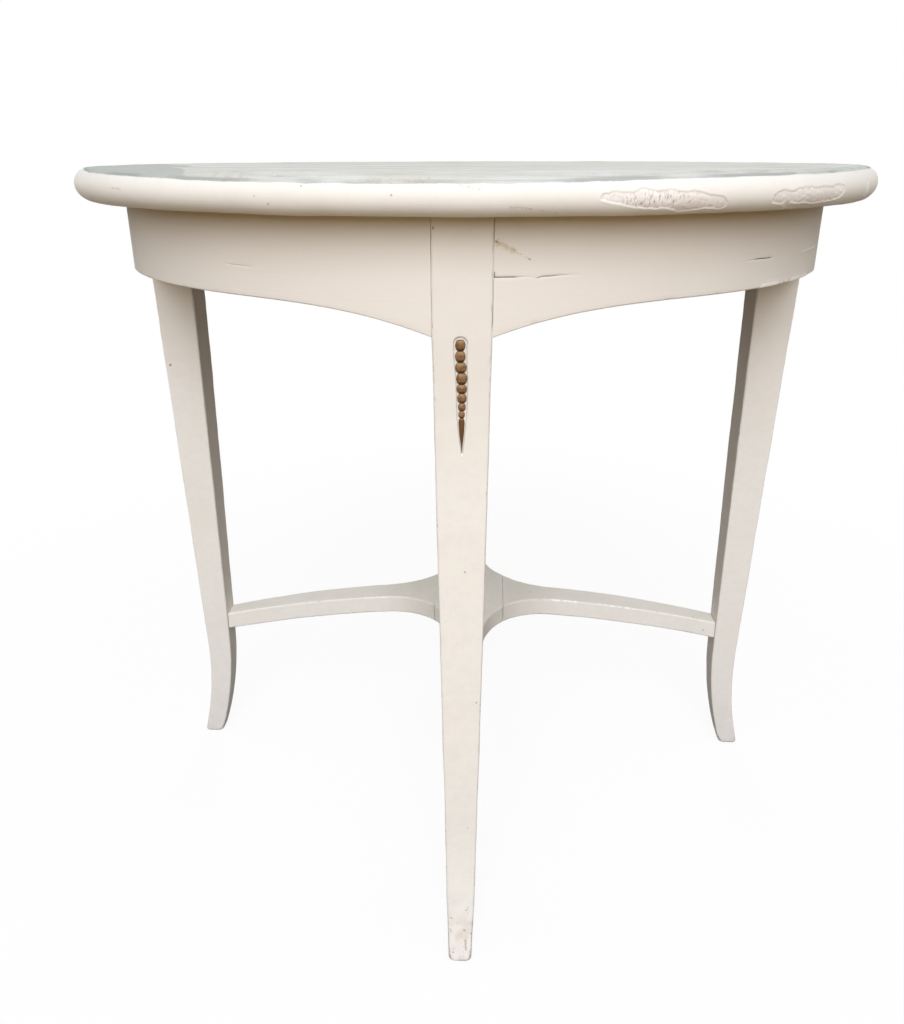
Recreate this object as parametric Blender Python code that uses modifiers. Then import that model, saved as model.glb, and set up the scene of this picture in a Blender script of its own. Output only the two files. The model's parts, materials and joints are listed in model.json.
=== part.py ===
"""Round coffee table in painted wood.

Five boards glued edge to edge make the round top. Eight sawn segments, two layers
high, make the apron between four sabre legs, and an arched cross stretcher ties the
legs together near the floor. A half-turned bead drop sits in a groove in each leg.

Metres, +Z up, the origin on the floor under the middle of the top, the front leg at -Y.
"""
import math

import bmesh
import bpy
from mathutils import Matrix

# Top: boards of one thickness, glued edge to edge, with a fully rounded rim.
TOP_DIAMETER = 0.700
TABLE_HEIGHT = 0.653
TOP_THICKNESS = 0.0255
BOARD_COUNT = 5
TOP_OVERHANG = 0.0375

# Apron: curved segments sawn from planks and glued up in two layers.
APRON_THICKNESS = 0.022
UPPER_LAYER = 0.036
LOWER_LAYER = 0.040
ARCH_RISE = 0.0208
ARCH_POWER = 5
APRON_TENON_THICKNESS = 0.010
APRON_TENON_HEIGHT = 0.016
APRON_TENON_LENGTH = 0.014

# Legs: a square block beside the apron, tapering to a foot that kicks outwards.
LEG_WIDTH = 0.0395
LEG_DEPTH = 0.0390
LEG_PROUD = 0.0015
FOOT_WIDTH = 0.0212
FOOT_DEPTH = 0.0210
LEG_LEAN = 0.007
FOOT_KICK = 0.020
KICK_HEIGHT = 0.130
TAPER_POWER = 0.85

# Bead drop: a row of shrinking beads ending in a point, let into the leg's face.
BEAD_COUNT = 8
FIRST_BEAD_WIDTH = 0.0072
LAST_BEAD_WIDTH = 0.0046
FIRST_BEAD_LENGTH = 0.0079
LAST_BEAD_LENGTH = 0.0053
POINT_WIDTH = 0.0042
POINT_LENGTH = 0.0243
POINT_BELLY = 0.0038
POINT_BELLY_DROP = 0.0080
BEAD_BACK = 0.0003
GROOVE_DEPTH = 0.0026
GROOVE_MARGIN = 0.0012
GROOVE_RISE = 0.0015

# Cross stretcher: one rail from front to back, and an arm to each side.
STRETCHER_TOP = 0.2005
STRETCHER_RISE = 0.0325
STRETCHER_THICKNESS = 0.020
ARM_WIDTH_AT_LEG = 0.0225
ARM_WIDTH_AT_FLARE = 0.031
FLARE_RADIUS = 0.078
STRETCHER_TENON_WIDTH = 0.010
STRETCHER_TENON_HEIGHT = 0.012
STRETCHER_TENON_LENGTH = 0.014
DOWEL_DIAMETER = 0.008
DOWEL_LENGTH = 0.032
DOWEL_SPACING = 0.036

# Fixings: blocks in the corner of apron and top, with a screw up through each.
BLOCK_LENGTH = 0.050
BLOCK_DEPTH = 0.024
BLOCK_HEIGHT = 0.022
BLOCK_ANGLE = math.radians(22)
SCREW_LENGTH = 0.034
SCREW_SHANK = 0.004
SCREW_HEAD = 0.008
SCREW_HEAD_HEIGHT = 0.003
SCREW_TIP = 0.006

# Glue lines and seats: the gap kept between two pieces that meet.
SEAT_GAP = 0.0003
# How far a tenon's root is sunk into its own piece, and how far a cutter overshoots.
ROOT = 0.001
OVERSHOOT = 0.004
WELD = 0.00001

# Facet counts of the round stretches.
RIM_STEPS = 96
RIM_ARC_POINTS = 9
APRON_ARC_POINTS = 21
BLOCK_ARC_POINTS = 7
ARCH_POINTS = 9
GROOVE_ARC_POINTS = 6
BEAD_POINTS = 5
FOOT_LEVELS = 8
SHAFT_LEVELS = 9
STRETCHER_POINTS = 13
FLARE_POINTS = 9
TURNED_STEPS = 12
DOWEL_SIDES = 16
MEETING_STEPS = 8

QUARTER = math.radians(90)
CORNERS = ("front", "right", "back", "left")
QUARTERS = ("front_right", "back_right", "back_left", "front_left")

# Levels and radii that follow from the sizes above.
APRON_RADIUS = TOP_DIAMETER / 2 - TOP_OVERHANG
APRON_INNER = APRON_RADIUS - APRON_THICKNESS
APRON_MIDDLE = APRON_RADIUS - APRON_THICKNESS / 2
TOP_UNDERSIDE = TABLE_HEIGHT - TOP_THICKNESS
FRAME_TOP = TOP_UNDERSIDE - SEAT_GAP
LAYER_LINE = FRAME_TOP - UPPER_LAYER
APRON_BOTTOM = LAYER_LINE - LOWER_LAYER
LEG_FACE = APRON_RADIUS + LEG_PROUD
LEG_SIDE = LEG_WIDTH / 2 + SEAT_GAP
LEG_TILT = math.atan2(LEG_LEAN, APRON_BOTTOM)
FLARE_START = ARM_WIDTH_AT_FLARE / 2 + FLARE_RADIUS
HUB = ARM_WIDTH_AT_FLARE / 2 + FLARE_RADIUS * (1 - math.sqrt(0.5))
BLOCK_BACK = APRON_INNER - SEAT_GAP
BLOCK_BOTTOM = FRAME_TOP - BLOCK_HEIGHT
SCREW_RADIUS = BLOCK_BACK - BLOCK_DEPTH / 2

# Flat outlines are drawn in one of these planes; the third axis is the extrusion.
PLAN = Matrix.Identity(4)
FRONT = Matrix(((1, 0, 0, 0), (0, 0, -1, 0), (0, 1, 0, 0), (0, 0, 0, 1)))
SIDE = Matrix(((0, 0, 1, 0), (1, 0, 0, 0), (0, 1, 0, 0), (0, 0, 0, 1)))


def spread(first, last, count):
    """Evenly spaced values from first to last."""
    return [first + (last - first) * i / (count - 1) for i in range(count)]


def mirrored(points):
    """The outline points followed by their mirror images, back to the start."""
    return points + [(-x, y) for x, y in reversed(points)]


def clear_scene():
    for item in list(bpy.data.objects):
        bpy.data.objects.remove(item, do_unlink=True)


def new_collection(name):
    group = bpy.data.collections.new(name)
    bpy.context.scene.collection.children.link(group)
    return group


def finish(name, colour, roughness, metallic=0.0):
    """One surface finish of the table."""
    material = bpy.data.materials.new(name)
    material.use_nodes = True
    shader = material.node_tree.nodes["Principled BSDF"]
    shader.inputs["Base Color"].default_value = (*colour, 1.0)
    shader.inputs["Roughness"].default_value = roughness
    shader.inputs["Metallic"].default_value = metallic
    return material


def outline_mesh(points, low, high, plane):
    """A filled flat outline, extruded from low to high along the plane's third axis."""
    curve = bpy.data.curves.new("outline", "CURVE")
    curve.dimensions = "2D"
    curve.fill_mode = "BOTH"
    curve.extrude = (high - low) / 2
    spline = curve.splines.new("POLY")
    spline.points.add(len(points) - 1)
    for corner, (x, y) in zip(spline.points, points):
        corner.co = (x, y, 0.0, 1.0)
    spline.use_cyclic_u = True
    drawn = bpy.data.objects.new("outline", curve)
    bpy.context.scene.collection.objects.link(drawn)
    graph = bpy.context.evaluated_depsgraph_get()
    mesh = bpy.data.meshes.new_from_object(drawn.evaluated_get(graph))
    bpy.data.objects.remove(drawn)
    bpy.data.curves.remove(curve)
    form = bmesh.new()
    form.from_mesh(mesh)
    bmesh.ops.remove_doubles(form, verts=form.verts, dist=WELD)
    lift = Matrix.Translation((0, 0, (low + high) / 2))
    bmesh.ops.transform(form, matrix=plane @ lift, verts=form.verts)
    bmesh.ops.recalc_face_normals(form, faces=form.faces)
    form.to_mesh(mesh)
    form.free()
    return mesh


def boxes_mesh(*corners):
    """Boxes in one mesh, each given by its lowest and highest corners."""
    form = bmesh.new()
    for low, high in corners:
        size = [b - a for a, b in zip(low, high)]
        middle = [(a + b) / 2 for a, b in zip(low, high)]
        place = Matrix.Translation(middle) @ Matrix.Diagonal((*size, 1))
        bmesh.ops.create_cube(form, size=1.0, matrix=place)
    mesh = bpy.data.meshes.new("boxes")
    form.to_mesh(mesh)
    form.free()
    return mesh


def pegs_mesh(radius, length, *middles):
    """Round pegs along Y in one mesh, one at each middle."""
    form = bmesh.new()
    along = Matrix.Rotation(QUARTER, 4, "X")
    for middle in middles:
        bmesh.ops.create_cone(
            form, cap_ends=True, segments=DOWEL_SIDES, radius1=radius, radius2=radius,
            depth=length, matrix=Matrix.Translation(middle) @ along)
    mesh = bpy.data.meshes.new("pegs")
    form.to_mesh(mesh)
    form.free()
    mesh.shade_smooth()
    mesh.set_sharp_from_angle(angle=QUARTER / 2)
    return mesh


def profile_mesh(profile):
    """A chain of edges through (radius, height) points, for turning about Z."""
    mesh = bpy.data.meshes.new("profile")
    chain = [(i, i + 1) for i in range(len(profile) - 1)]
    mesh.from_pydata([(radius, 0, height) for radius, height in profile], chain, [])
    return mesh


def turn(item, steps):
    """Turn an object's profile about its Z axis."""
    lathe = item.modifiers.new("Turned", "SCREW")
    lathe.axis = "Z"
    lathe.steps = steps
    lathe.render_steps = steps
    lathe.use_merge_vertices = True
    lathe.merge_threshold = WELD
    lathe.use_smooth_shade = True


def shape(item, operation, tool):
    """Cut a tool from an object, join it on, or keep what the two have in common."""
    step = item.modifiers.new(operation.title(), "BOOLEAN")
    step.operation = operation
    step.object = tool


class Workshop:
    """The table's collections and finishes, and the frames that the pieces stand in."""

    def __init__(self):
        self.parts = new_collection("round_coffee_table")
        self.cutters = new_collection("cutters")
        self.paint = finish("cream_paint", (0.80, 0.75, 0.66), 0.45)
        self.worn = finish("weathered_top_paint", (0.55, 0.54, 0.49), 0.60)
        self.gilt = finish("bronze_paint", (0.33, 0.21, 0.09), 0.40, 0.5)
        self.bare = finish("bare_pine", (0.56, 0.39, 0.22), 0.75)
        self.steel = finish("screw_steel", (0.45, 0.44, 0.42), 0.40, 1.0)
        self.corners = [self.frame(name, i * QUARTER) for i, name in enumerate(CORNERS)]
        self.quarters = [
            self.frame(name, (i + 0.5) * QUARTER) for i, name in enumerate(QUARTERS)]

    def frame(self, name, turn_angle):
        """An empty on the table's axis whose -Y looks at one corner or quarter."""
        empty = bpy.data.objects.new("frame_" + name, None)
        empty.rotation_euler.z = turn_angle
        self.parts.objects.link(empty)
        return empty

    def piece(self, name, mesh, material, parent=None):
        item = bpy.data.objects.new(name, mesh)
        if not mesh.materials:
            mesh.materials.append(material)
        self.parts.objects.link(item)
        item.parent = parent
        return item

    def cutter(self, name, mesh, parent=None):
        item = bpy.data.objects.new(name, mesh)
        item.hide_render = True
        item.display_type = "WIRE"
        self.cutters.objects.link(item)
        item.parent = parent
        return item


# Leg sections at a height.

def taper(height):
    """Share of the way from the foot's size to the block's size."""
    return min(height / APRON_BOTTOM, 1.0) ** TAPER_POWER


def leg_width(height):
    return FOOT_WIDTH + (LEG_WIDTH - FOOT_WIDTH) * taper(height)


def leg_depth(height):
    return FOOT_DEPTH + (LEG_DEPTH - FOOT_DEPTH) * taper(height)


def leg_outer(height):
    """Radius of the leg's outer face: a slight lean, then the foot's outward kick."""
    lean = LEG_LEAN * max(0.0, 1 - height / APRON_BOTTOM)
    kick = FOOT_KICK * max(0.0, 1 - height / KICK_HEIGHT) ** 2
    return LEG_FACE - lean + kick


def leg_inner(height):
    return leg_outer(height) - leg_depth(height)


# Cross stretcher at a distance from the table's axis.

STRETCHER_REACH = leg_inner(STRETCHER_TOP - STRETCHER_RISE)


def stretcher_height(distance):
    """Height of the stretcher's upper face: a shallow parabola over its reach."""
    return STRETCHER_TOP - STRETCHER_RISE * (distance / STRETCHER_REACH) ** 2


def stretcher_end(below):
    """Distance where the line that runs below the upper face meets the leg's inner face."""
    distance = STRETCHER_REACH
    for _ in range(MEETING_STEPS):
        distance = leg_inner(stretcher_height(distance) - below) - SEAT_GAP
    return distance


def stretcher_half_width(distance):
    """An arc out of the hub, then a straight taper to the leg."""
    if distance < FLARE_START:
        run = FLARE_START - distance
        return FLARE_START - math.sqrt(FLARE_RADIUS ** 2 - run ** 2)
    share = (distance - FLARE_START) / (STRETCHER_REACH - FLARE_START)
    return (ARM_WIDTH_AT_FLARE + (ARM_WIDTH_AT_LEG - ARM_WIDTH_AT_FLARE) * share) / 2


TENON_LEVEL = stretcher_height(STRETCHER_REACH) - STRETCHER_THICKNESS / 2
TENON_SHOULDER = stretcher_end(STRETCHER_THICKNESS / 2)
DOWEL_LEVEL = stretcher_height(HUB) - STRETCHER_THICKNESS / 2


# Turned profiles, from top to bottom as (radius, height).

def rim_profile():
    """Half section of the top: flat faces joined by a half-round rim."""
    round_radius = TOP_THICKNESS / 2
    middle = TABLE_HEIGHT - round_radius
    centre = TOP_DIAMETER / 2 - round_radius
    arc = [(centre + round_radius * math.cos(a), middle + round_radius * math.sin(a))
           for a in spread(QUARTER, -QUARTER, RIM_ARC_POINTS)]
    return [(0, TABLE_HEIGHT), *arc, (0, TOP_UNDERSIDE)]


def bead_sizes():
    """(radius, length) of each bead, shrinking evenly down the row."""
    widths = spread(FIRST_BEAD_WIDTH, LAST_BEAD_WIDTH, BEAD_COUNT)
    lengths = spread(FIRST_BEAD_LENGTH, LAST_BEAD_LENGTH, BEAD_COUNT)
    return [(width / 2, length) for width, length in zip(widths, lengths)]


BEADS_LENGTH = sum(length for radius, length in bead_sizes())


def bead_profile():
    """Half section of the bead drop, from the first bead's pole down to the point."""
    turns = spread(QUARTER / 3, 2 * QUARTER - QUARTER / 3, BEAD_POINTS)
    profile = [(0, 0)]
    level = 0.0
    for radius, length in bead_sizes():
        middle = level - length / 2
        profile += [(radius * math.sin(a), middle + length / 2 * math.cos(a)) for a in turns]
        level -= length
    radius = POINT_WIDTH / 2
    profile += [(radius, level - radius), (POINT_BELLY / 2, level - POINT_BELLY_DROP)]
    return profile + [(0, level - POINT_LENGTH)]


def screw_profile(clearance, start):
    """Half section of a countersunk screw, tip up, made larger by the clearance."""
    shank = SCREW_SHANK / 2 + clearance
    head = SCREW_HEAD / 2 + clearance
    return [(0, SCREW_LENGTH + clearance), (shank, SCREW_LENGTH - SCREW_TIP + clearance),
            (shank, SCREW_HEAD_HEIGHT), (head, 0), (head, -start), (0, -start)]


# The pieces.

def make_fixings(shop):
    """Blocks and screws in each quarter; the screw holes also go up into the top."""
    holes = []
    half = math.asin(BLOCK_LENGTH / 2 / BLOCK_BACK)
    back = [(BLOCK_BACK * math.sin(a), -BLOCK_BACK * math.cos(a))
            for a in spread(-half, half, BLOCK_ARC_POINTS)]
    front = BLOCK_DEPTH - BLOCK_BACK
    plan = back + [(BLOCK_LENGTH / 2, front), (-BLOCK_LENGTH / 2, front)]
    number = 0
    for quarter in shop.quarters:
        for side in (-1, 1):
            number += 1
            mesh = outline_mesh(plan, BLOCK_BOTTOM, FRAME_TOP, PLAN)
            block = shop.piece(f"fixing_block_{number}", mesh, shop.bare, quarter)
            screw = shop.piece(
                f"fixing_screw_{number}", profile_mesh(screw_profile(0, 0)), shop.steel, block)
            hole = shop.cutter(
                f"screw_hole_{number}", profile_mesh(screw_profile(SEAT_GAP, OVERSHOOT)), block)
            block.rotation_euler.z = side * BLOCK_ANGLE
            for item in (screw, hole):
                item.location = (0, -SCREW_RADIUS, BLOCK_BOTTOM)
                turn(item, TURNED_STEPS)
            shape(block, "DIFFERENCE", hole)
            holes.append(hole)
    return holes


def make_top(shop, holes):
    """Boards with the grain along X, cut round together, drilled for the screws."""
    disc = shop.cutter("top_round", profile_mesh(rim_profile()))
    turn(disc, RIM_STEPS)
    reach = TOP_DIAMETER / 2 + OVERSHOOT
    width = TOP_DIAMETER / BOARD_COUNT
    for i in range(BOARD_COUNT):
        front = -TOP_DIAMETER / 2 + i * width
        low = front + SEAT_GAP / 2 if i else -reach
        high = front + width - SEAT_GAP / 2 if i < BOARD_COUNT - 1 else reach
        blank = boxes_mesh(
            ((-reach, low, TOP_UNDERSIDE - OVERSHOOT), (reach, high, TABLE_HEIGHT + OVERSHOOT)))
        board = shop.piece(f"top_board_{i + 1}", blank, shop.worn)
        shape(board, "INTERSECT", disc)
        for hole in holes:
            shape(board, "DIFFERENCE", hole)


def apron_tenon(level, side):
    """Box of the tenon on one end of a segment, in the frame of the leg it enters."""
    shoulder = -LEG_SIDE - ROOT
    tip = -LEG_SIDE + APRON_TENON_LENGTH
    across = sorted((side * shoulder, side * tip))
    half_thick = APRON_TENON_THICKNESS / 2
    half_high = APRON_TENON_HEIGHT / 2
    return ((across[0], -APRON_MIDDLE - half_thick, level - half_high),
            (across[1], -APRON_MIDDLE + half_thick, level + half_high))


def grown(box, clearance):
    """A box made larger all round."""
    low, high = box
    return tuple(v - clearance for v in low), tuple(v + clearance for v in high)


LAYERS = (("upper", LAYER_LINE, FRAME_TOP), ("lower", APRON_BOTTOM, LAYER_LINE - SEAT_GAP))
LAYER_LEVELS = [(low + high) / 2 for name, low, high in LAYERS]


def arch_outline():
    """The hollow under a segment: nearly level in the middle, falling steeply to each leg."""
    end = APRON_RADIUS * math.sin(QUARTER / 2 - math.asin(LEG_SIDE / APRON_RADIUS))
    curve = [(end * share, APRON_BOTTOM + ARCH_RISE * (1 - share ** ARCH_POWER))
             for share in spread(1, 1 / ARCH_POINTS, ARCH_POINTS)]
    return mirrored([(end, APRON_BOTTOM - OVERSHOOT)] + curve)


def make_apron(shop):
    """A segment between each pair of legs, in two layers, the lower one arched."""
    outer = QUARTER / 2 - math.asin(LEG_SIDE / APRON_RADIUS)
    inner = QUARTER / 2 - math.asin(LEG_SIDE / APRON_INNER)
    plan = [(APRON_RADIUS * math.sin(a), -APRON_RADIUS * math.cos(a))
            for a in spread(-outer, outer, APRON_ARC_POINTS)]
    plan += [(APRON_INNER * math.sin(a), -APRON_INNER * math.cos(a))
             for a in spread(inner, -inner, APRON_ARC_POINTS)]
    for quarter, place in zip(shop.quarters, QUARTERS):
        for (layer, low, high), level in zip(LAYERS, LAYER_LEVELS):
            name = f"apron_{place}_{layer}"
            segment = shop.piece(name, outline_mesh(plan, low, high, PLAN), shop.paint, quarter)
            if layer == "lower":
                hollow = outline_mesh(arch_outline(), 0, APRON_RADIUS + OVERSHOOT, FRONT)
                shape(segment, "DIFFERENCE", shop.cutter(f"arch_{place}", hollow, quarter))
            for side in (-1, 1):
                tenon = shop.cutter(
                    f"tenon_{place}_{layer}_{side}", boxes_mesh(apron_tenon(level, side)), quarter)
                tenon.rotation_euler.z = side * QUARTER / 2
                shape(segment, "UNION", tenon)


def groove_outline():
    """Front view of the groove: round at the top, following the beads down to the point."""
    top = FIRST_BEAD_WIDTH / 2 + GROOVE_MARGIN
    arc = [(top * math.sin(a), top * math.cos(a) - top)
           for a in spread(0, QUARTER, GROOVE_ARC_POINTS)[1:]]
    foot = -GROOVE_RISE - GROOVE_MARGIN - BEADS_LENGTH
    shoulder = (LAST_BEAD_WIDTH / 2 + GROOVE_MARGIN, foot)
    return mirrored(arc + [shoulder, (GROOVE_MARGIN / 2, foot - POINT_LENGTH - GROOVE_MARGIN)])


def stretcher_tenon():
    """Box of the tenon on the end of a stretcher arm, in the frame of the leg it enters."""
    half_wide = STRETCHER_TENON_WIDTH / 2
    half_high = STRETCHER_TENON_HEIGHT / 2
    tip = TENON_SHOULDER + STRETCHER_TENON_LENGTH
    return ((-half_wide, -tip, TENON_LEVEL - half_high),
            (half_wide, -TENON_SHOULDER + ROOT, TENON_LEVEL + half_high))


def leg_levels():
    """Heights of the leg's sections: close together in the foot, wider apart above."""
    foot = spread(0, KICK_HEIGHT, FOOT_LEVELS)
    shaft = spread(KICK_HEIGHT, APRON_BOTTOM, SHAFT_LEVELS)
    return foot + shaft[1:] + [FRAME_TOP]


def make_legs(shop):
    """Each leg is sawn to its side view, then to its front view, then mortised and grooved."""
    levels = leg_levels()
    side_view = [(-leg_outer(z), z) for z in levels]
    side_view += [(-leg_inner(z), z) for z in reversed(levels)]
    right_edge = [(FOOT_WIDTH / 2, -OVERSHOOT)] + [(leg_width(z) / 2, z) for z in levels]
    front_view = mirrored(right_edge + [(LEG_WIDTH / 2, FRAME_TOP + OVERSHOOT)])
    mortises = [grown(apron_tenon(level, side), SEAT_GAP)
                for level in LAYER_LEVELS for side in (-1, 1)]
    low, high = grown(stretcher_tenon(), SEAT_GAP)
    mortises.append((low, (high[0], high[1] + OVERSHOOT, high[2])))
    for corner, place in zip(shop.corners, CORNERS):
        blank = outline_mesh(side_view, -LEG_WIDTH, LEG_WIDTH, SIDE)
        leg = shop.piece("leg_" + place, blank, shop.paint, corner)
        edges = outline_mesh(front_view, 0, LEG_FACE + FOOT_KICK, FRONT)
        shape(leg, "INTERSECT", shop.cutter("leg_edges_" + place, edges, corner))
        shape(leg, "DIFFERENCE", shop.cutter("mortises_" + place, boxes_mesh(*mortises), corner))
        groove_mesh = outline_mesh(groove_outline(), -GROOVE_DEPTH, OVERSHOOT, FRONT)
        groove = shop.cutter("groove_" + place, groove_mesh, corner)
        groove.location = (0, -LEG_FACE, APRON_BOTTOM + GROOVE_RISE)
        groove.rotation_euler.x = LEG_TILT
        shape(leg, "DIFFERENCE", groove)


def make_bead_drops(shop):
    """A turned row of beads, sawn in half and seated on the floor of each leg's groove."""
    depth = SEAT_GAP + BEAD_BACK - GROOVE_DEPTH
    back = ((-FIRST_BEAD_WIDTH, BEAD_BACK, -BEADS_LENGTH - POINT_LENGTH - OVERSHOOT),
            (FIRST_BEAD_WIDTH, BEAD_BACK + OVERSHOOT, OVERSHOOT))
    for corner, place in zip(shop.corners, CORNERS):
        seat = shop.frame("groove_floor_" + place, 0.0)
        seat.parent = corner
        seat.location = (0, -LEG_FACE, APRON_BOTTOM)
        seat.rotation_euler.x = LEG_TILT
        drop = shop.piece("bead_drop_" + place, profile_mesh(bead_profile()), shop.gilt, seat)
        waste = shop.cutter("bead_back_" + place, boxes_mesh(back), seat)
        for item in (drop, waste):
            item.location = (0, -depth, -GROOVE_MARGIN)
        turn(drop, TURNED_STEPS)
        shape(drop, "DIFFERENCE", waste)


def arch_side_view(start, end_top, end_bottom):
    """Side view of a stretcher piece as (y, z), from start out to the leg at -Y."""
    upper = [(-d, stretcher_height(d)) for d in spread(start, end_top, STRETCHER_POINTS)]
    lower = [(-d, stretcher_height(d) - STRETCHER_THICKNESS)
             for d in spread(end_bottom, start, STRETCHER_POINTS)]
    return upper, lower


def arm_edge(start):
    """One edge of an arm in plan as (half width, y), from start out past the leg's face."""
    flare = spread(start, FLARE_START, FLARE_POINTS)
    edge = [(stretcher_half_width(d), -d) for d in flare]
    return edge + [(stretcher_half_width(STRETCHER_REACH + OVERSHOOT), -STRETCHER_REACH - OVERSHOOT)]


def make_stretcher(shop):
    """The rail runs through; the arms butt on its sides with two dowels each."""
    end_top = stretcher_end(0)
    end_bottom = stretcher_end(STRETCHER_THICKNESS)
    depth = STRETCHER_TOP - STRETCHER_RISE - STRETCHER_THICKNESS - OVERSHOOT
    joint = HUB + SEAT_GAP / 2
    pegs = [(x, -joint, DOWEL_LEVEL) for x in (-DOWEL_SPACING / 2, DOWEL_SPACING / 2)]
    hole_radius = DOWEL_DIAMETER / 2 + SEAT_GAP
    hole_length = DOWEL_LENGTH + 2 * SEAT_GAP

    upper, lower = arch_side_view(0, end_top, end_bottom)
    side_view = upper + lower[:-1]
    side_view += [(-y, z) for y, z in reversed(side_view) if y]
    edge = arm_edge(HUB)
    rail_plan = mirrored(edge[::-1] + [(x, -y) for x, y in edge])
    low, high = stretcher_tenon()
    back_tenon = ((low[0], -high[1], low[2]), (high[0], -low[1], high[2]))
    rail = shop.piece(
        "stretcher_rail", outline_mesh(side_view, -HUB - OVERSHOOT, HUB + OVERSHOOT, SIDE), shop.paint)
    plan = outline_mesh(rail_plan, depth, STRETCHER_TOP + OVERSHOOT, PLAN)
    shape(rail, "INTERSECT", shop.cutter("rail_plan", plan))
    shape(rail, "UNION", shop.cutter("rail_tenons", boxes_mesh((low, high), back_tenon)))

    upper, lower = arch_side_view(HUB + SEAT_GAP, end_top, end_bottom)
    arm_plan = mirrored(arm_edge(HUB))
    for corner, place in zip(shop.corners, CORNERS):
        if place not in ("right", "left"):
            continue
        blank = outline_mesh(upper + lower, -HUB - OVERSHOOT, HUB + OVERSHOOT, SIDE)
        arm = shop.piece("stretcher_arm_" + place, blank, shop.paint, corner)
        plan = outline_mesh(arm_plan, depth, STRETCHER_TOP + OVERSHOOT, PLAN)
        shape(arm, "INTERSECT", shop.cutter("arm_plan_" + place, plan, corner))
        tenon = shop.cutter("arm_tenon_" + place, boxes_mesh((low, high)), corner)
        shape(arm, "UNION", tenon)
        holes = shop.cutter(
            "dowel_holes_" + place, pegs_mesh(hole_radius, hole_length, *pegs), corner)
        shape(arm, "DIFFERENCE", holes)
        shape(rail, "DIFFERENCE", holes)
        for i, middle in enumerate(pegs):
            mesh = pegs_mesh(DOWEL_DIAMETER / 2, DOWEL_LENGTH, middle)
            shop.piece(f"dowel_{place}_{i + 1}", mesh, shop.bare, corner)


def main():
    clear_scene()
    shop = Workshop()
    holes = make_fixings(shop)
    make_top(shop, holes)
    make_apron(shop)
    make_legs(shop)
    make_bead_drops(shop)
    make_stretcher(shop)


main()
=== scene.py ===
# %% [markdown]
# # A painted round coffee table
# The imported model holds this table's sawn pieces at their real size. This lesson gives them
# their looks: brushed cream paint worn thin at the edges, a top weathered to grey, flaked
# patches on the rim and a bronze bead drop in each leg. Every visible piece is a surface
# worked out with numpy, so that wear is part of the shape and not only of the colour.

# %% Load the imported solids
import json
from functools import reduce

import bmesh
import bpy
import numpy as np
from mathutils import Matrix, Vector

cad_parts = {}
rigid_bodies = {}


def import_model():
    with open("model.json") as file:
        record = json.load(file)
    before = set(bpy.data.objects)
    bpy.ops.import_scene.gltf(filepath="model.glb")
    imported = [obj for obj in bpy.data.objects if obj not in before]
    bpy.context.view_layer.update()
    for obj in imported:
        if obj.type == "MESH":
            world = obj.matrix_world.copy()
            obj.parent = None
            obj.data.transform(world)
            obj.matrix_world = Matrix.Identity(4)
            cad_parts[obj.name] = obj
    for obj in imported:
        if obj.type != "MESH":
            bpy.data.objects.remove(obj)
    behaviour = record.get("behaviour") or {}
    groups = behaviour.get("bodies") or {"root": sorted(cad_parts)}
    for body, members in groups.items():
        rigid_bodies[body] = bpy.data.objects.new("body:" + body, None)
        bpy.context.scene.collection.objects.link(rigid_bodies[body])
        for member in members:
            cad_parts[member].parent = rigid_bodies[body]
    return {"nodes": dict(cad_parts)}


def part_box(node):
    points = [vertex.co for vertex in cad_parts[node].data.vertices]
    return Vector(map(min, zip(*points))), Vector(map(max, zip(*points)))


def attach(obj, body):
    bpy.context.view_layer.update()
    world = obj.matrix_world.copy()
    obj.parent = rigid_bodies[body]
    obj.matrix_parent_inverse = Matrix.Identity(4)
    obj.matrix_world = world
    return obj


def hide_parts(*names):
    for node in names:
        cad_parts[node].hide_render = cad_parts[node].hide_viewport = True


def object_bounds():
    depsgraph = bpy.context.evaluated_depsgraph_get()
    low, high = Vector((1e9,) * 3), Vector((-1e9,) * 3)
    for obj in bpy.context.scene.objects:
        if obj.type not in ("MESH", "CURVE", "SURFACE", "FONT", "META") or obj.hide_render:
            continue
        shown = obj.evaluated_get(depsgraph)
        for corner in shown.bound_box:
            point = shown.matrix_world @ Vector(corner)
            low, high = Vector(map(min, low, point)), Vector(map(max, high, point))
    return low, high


for leftover in list(bpy.data.objects):
    bpy.data.objects.remove(leftover, do_unlink=True)
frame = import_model()
cad_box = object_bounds()
print("CAD box", *[tuple(round(value, 4) for value in corner) for corner in cad_box])

# %% [markdown]
# ## Camera
# The photograph was taken from just above the table top, looking down, close enough for the
# front leg to look much longer than the others. The eye's place could be guessed by hand.
# Here it was worked out from the edges of the table in the picture, which gives a focal
# length in pixels. A pinhole camera turns that into a lens: focal length over image height,
# times the sensor's height.

# %% Set the camera
FOCAL_PIXELS = 848.0
IMAGE_HEIGHT = 1024
SENSOR = 36.0
EYE_DISTANCE = 0.8653
EYE_HEIGHT = 0.6624
PITCH, ROLL, YAW, TABLE_TURN = np.radians((22.926, -0.121, -1.309, 1.073))

eye = bpy.data.cameras.new("eye")
eye.sensor_width = SENSOR
eye.lens = FOCAL_PIXELS / IMAGE_HEIGHT * SENSOR
camera = bpy.data.objects.new("camera", eye)
bpy.context.scene.collection.objects.link(camera)
camera.matrix_world = (
    Matrix.Rotation(TABLE_TURN, 4, "Z")
    @ Matrix.Translation((0, -EYE_DISTANCE, EYE_HEIGHT))
    @ Matrix.Rotation(-YAW, 4, "Z")
    @ Matrix.Rotation(np.pi / 2 - PITCH, 4, "X")
    @ Matrix.Rotation(ROLL, 4, "Z"))
bpy.context.scene.camera = camera
bpy.context.scene.view_settings.view_transform = "Standard"
print("lens", round(eye.lens, 2), "mm")

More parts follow.
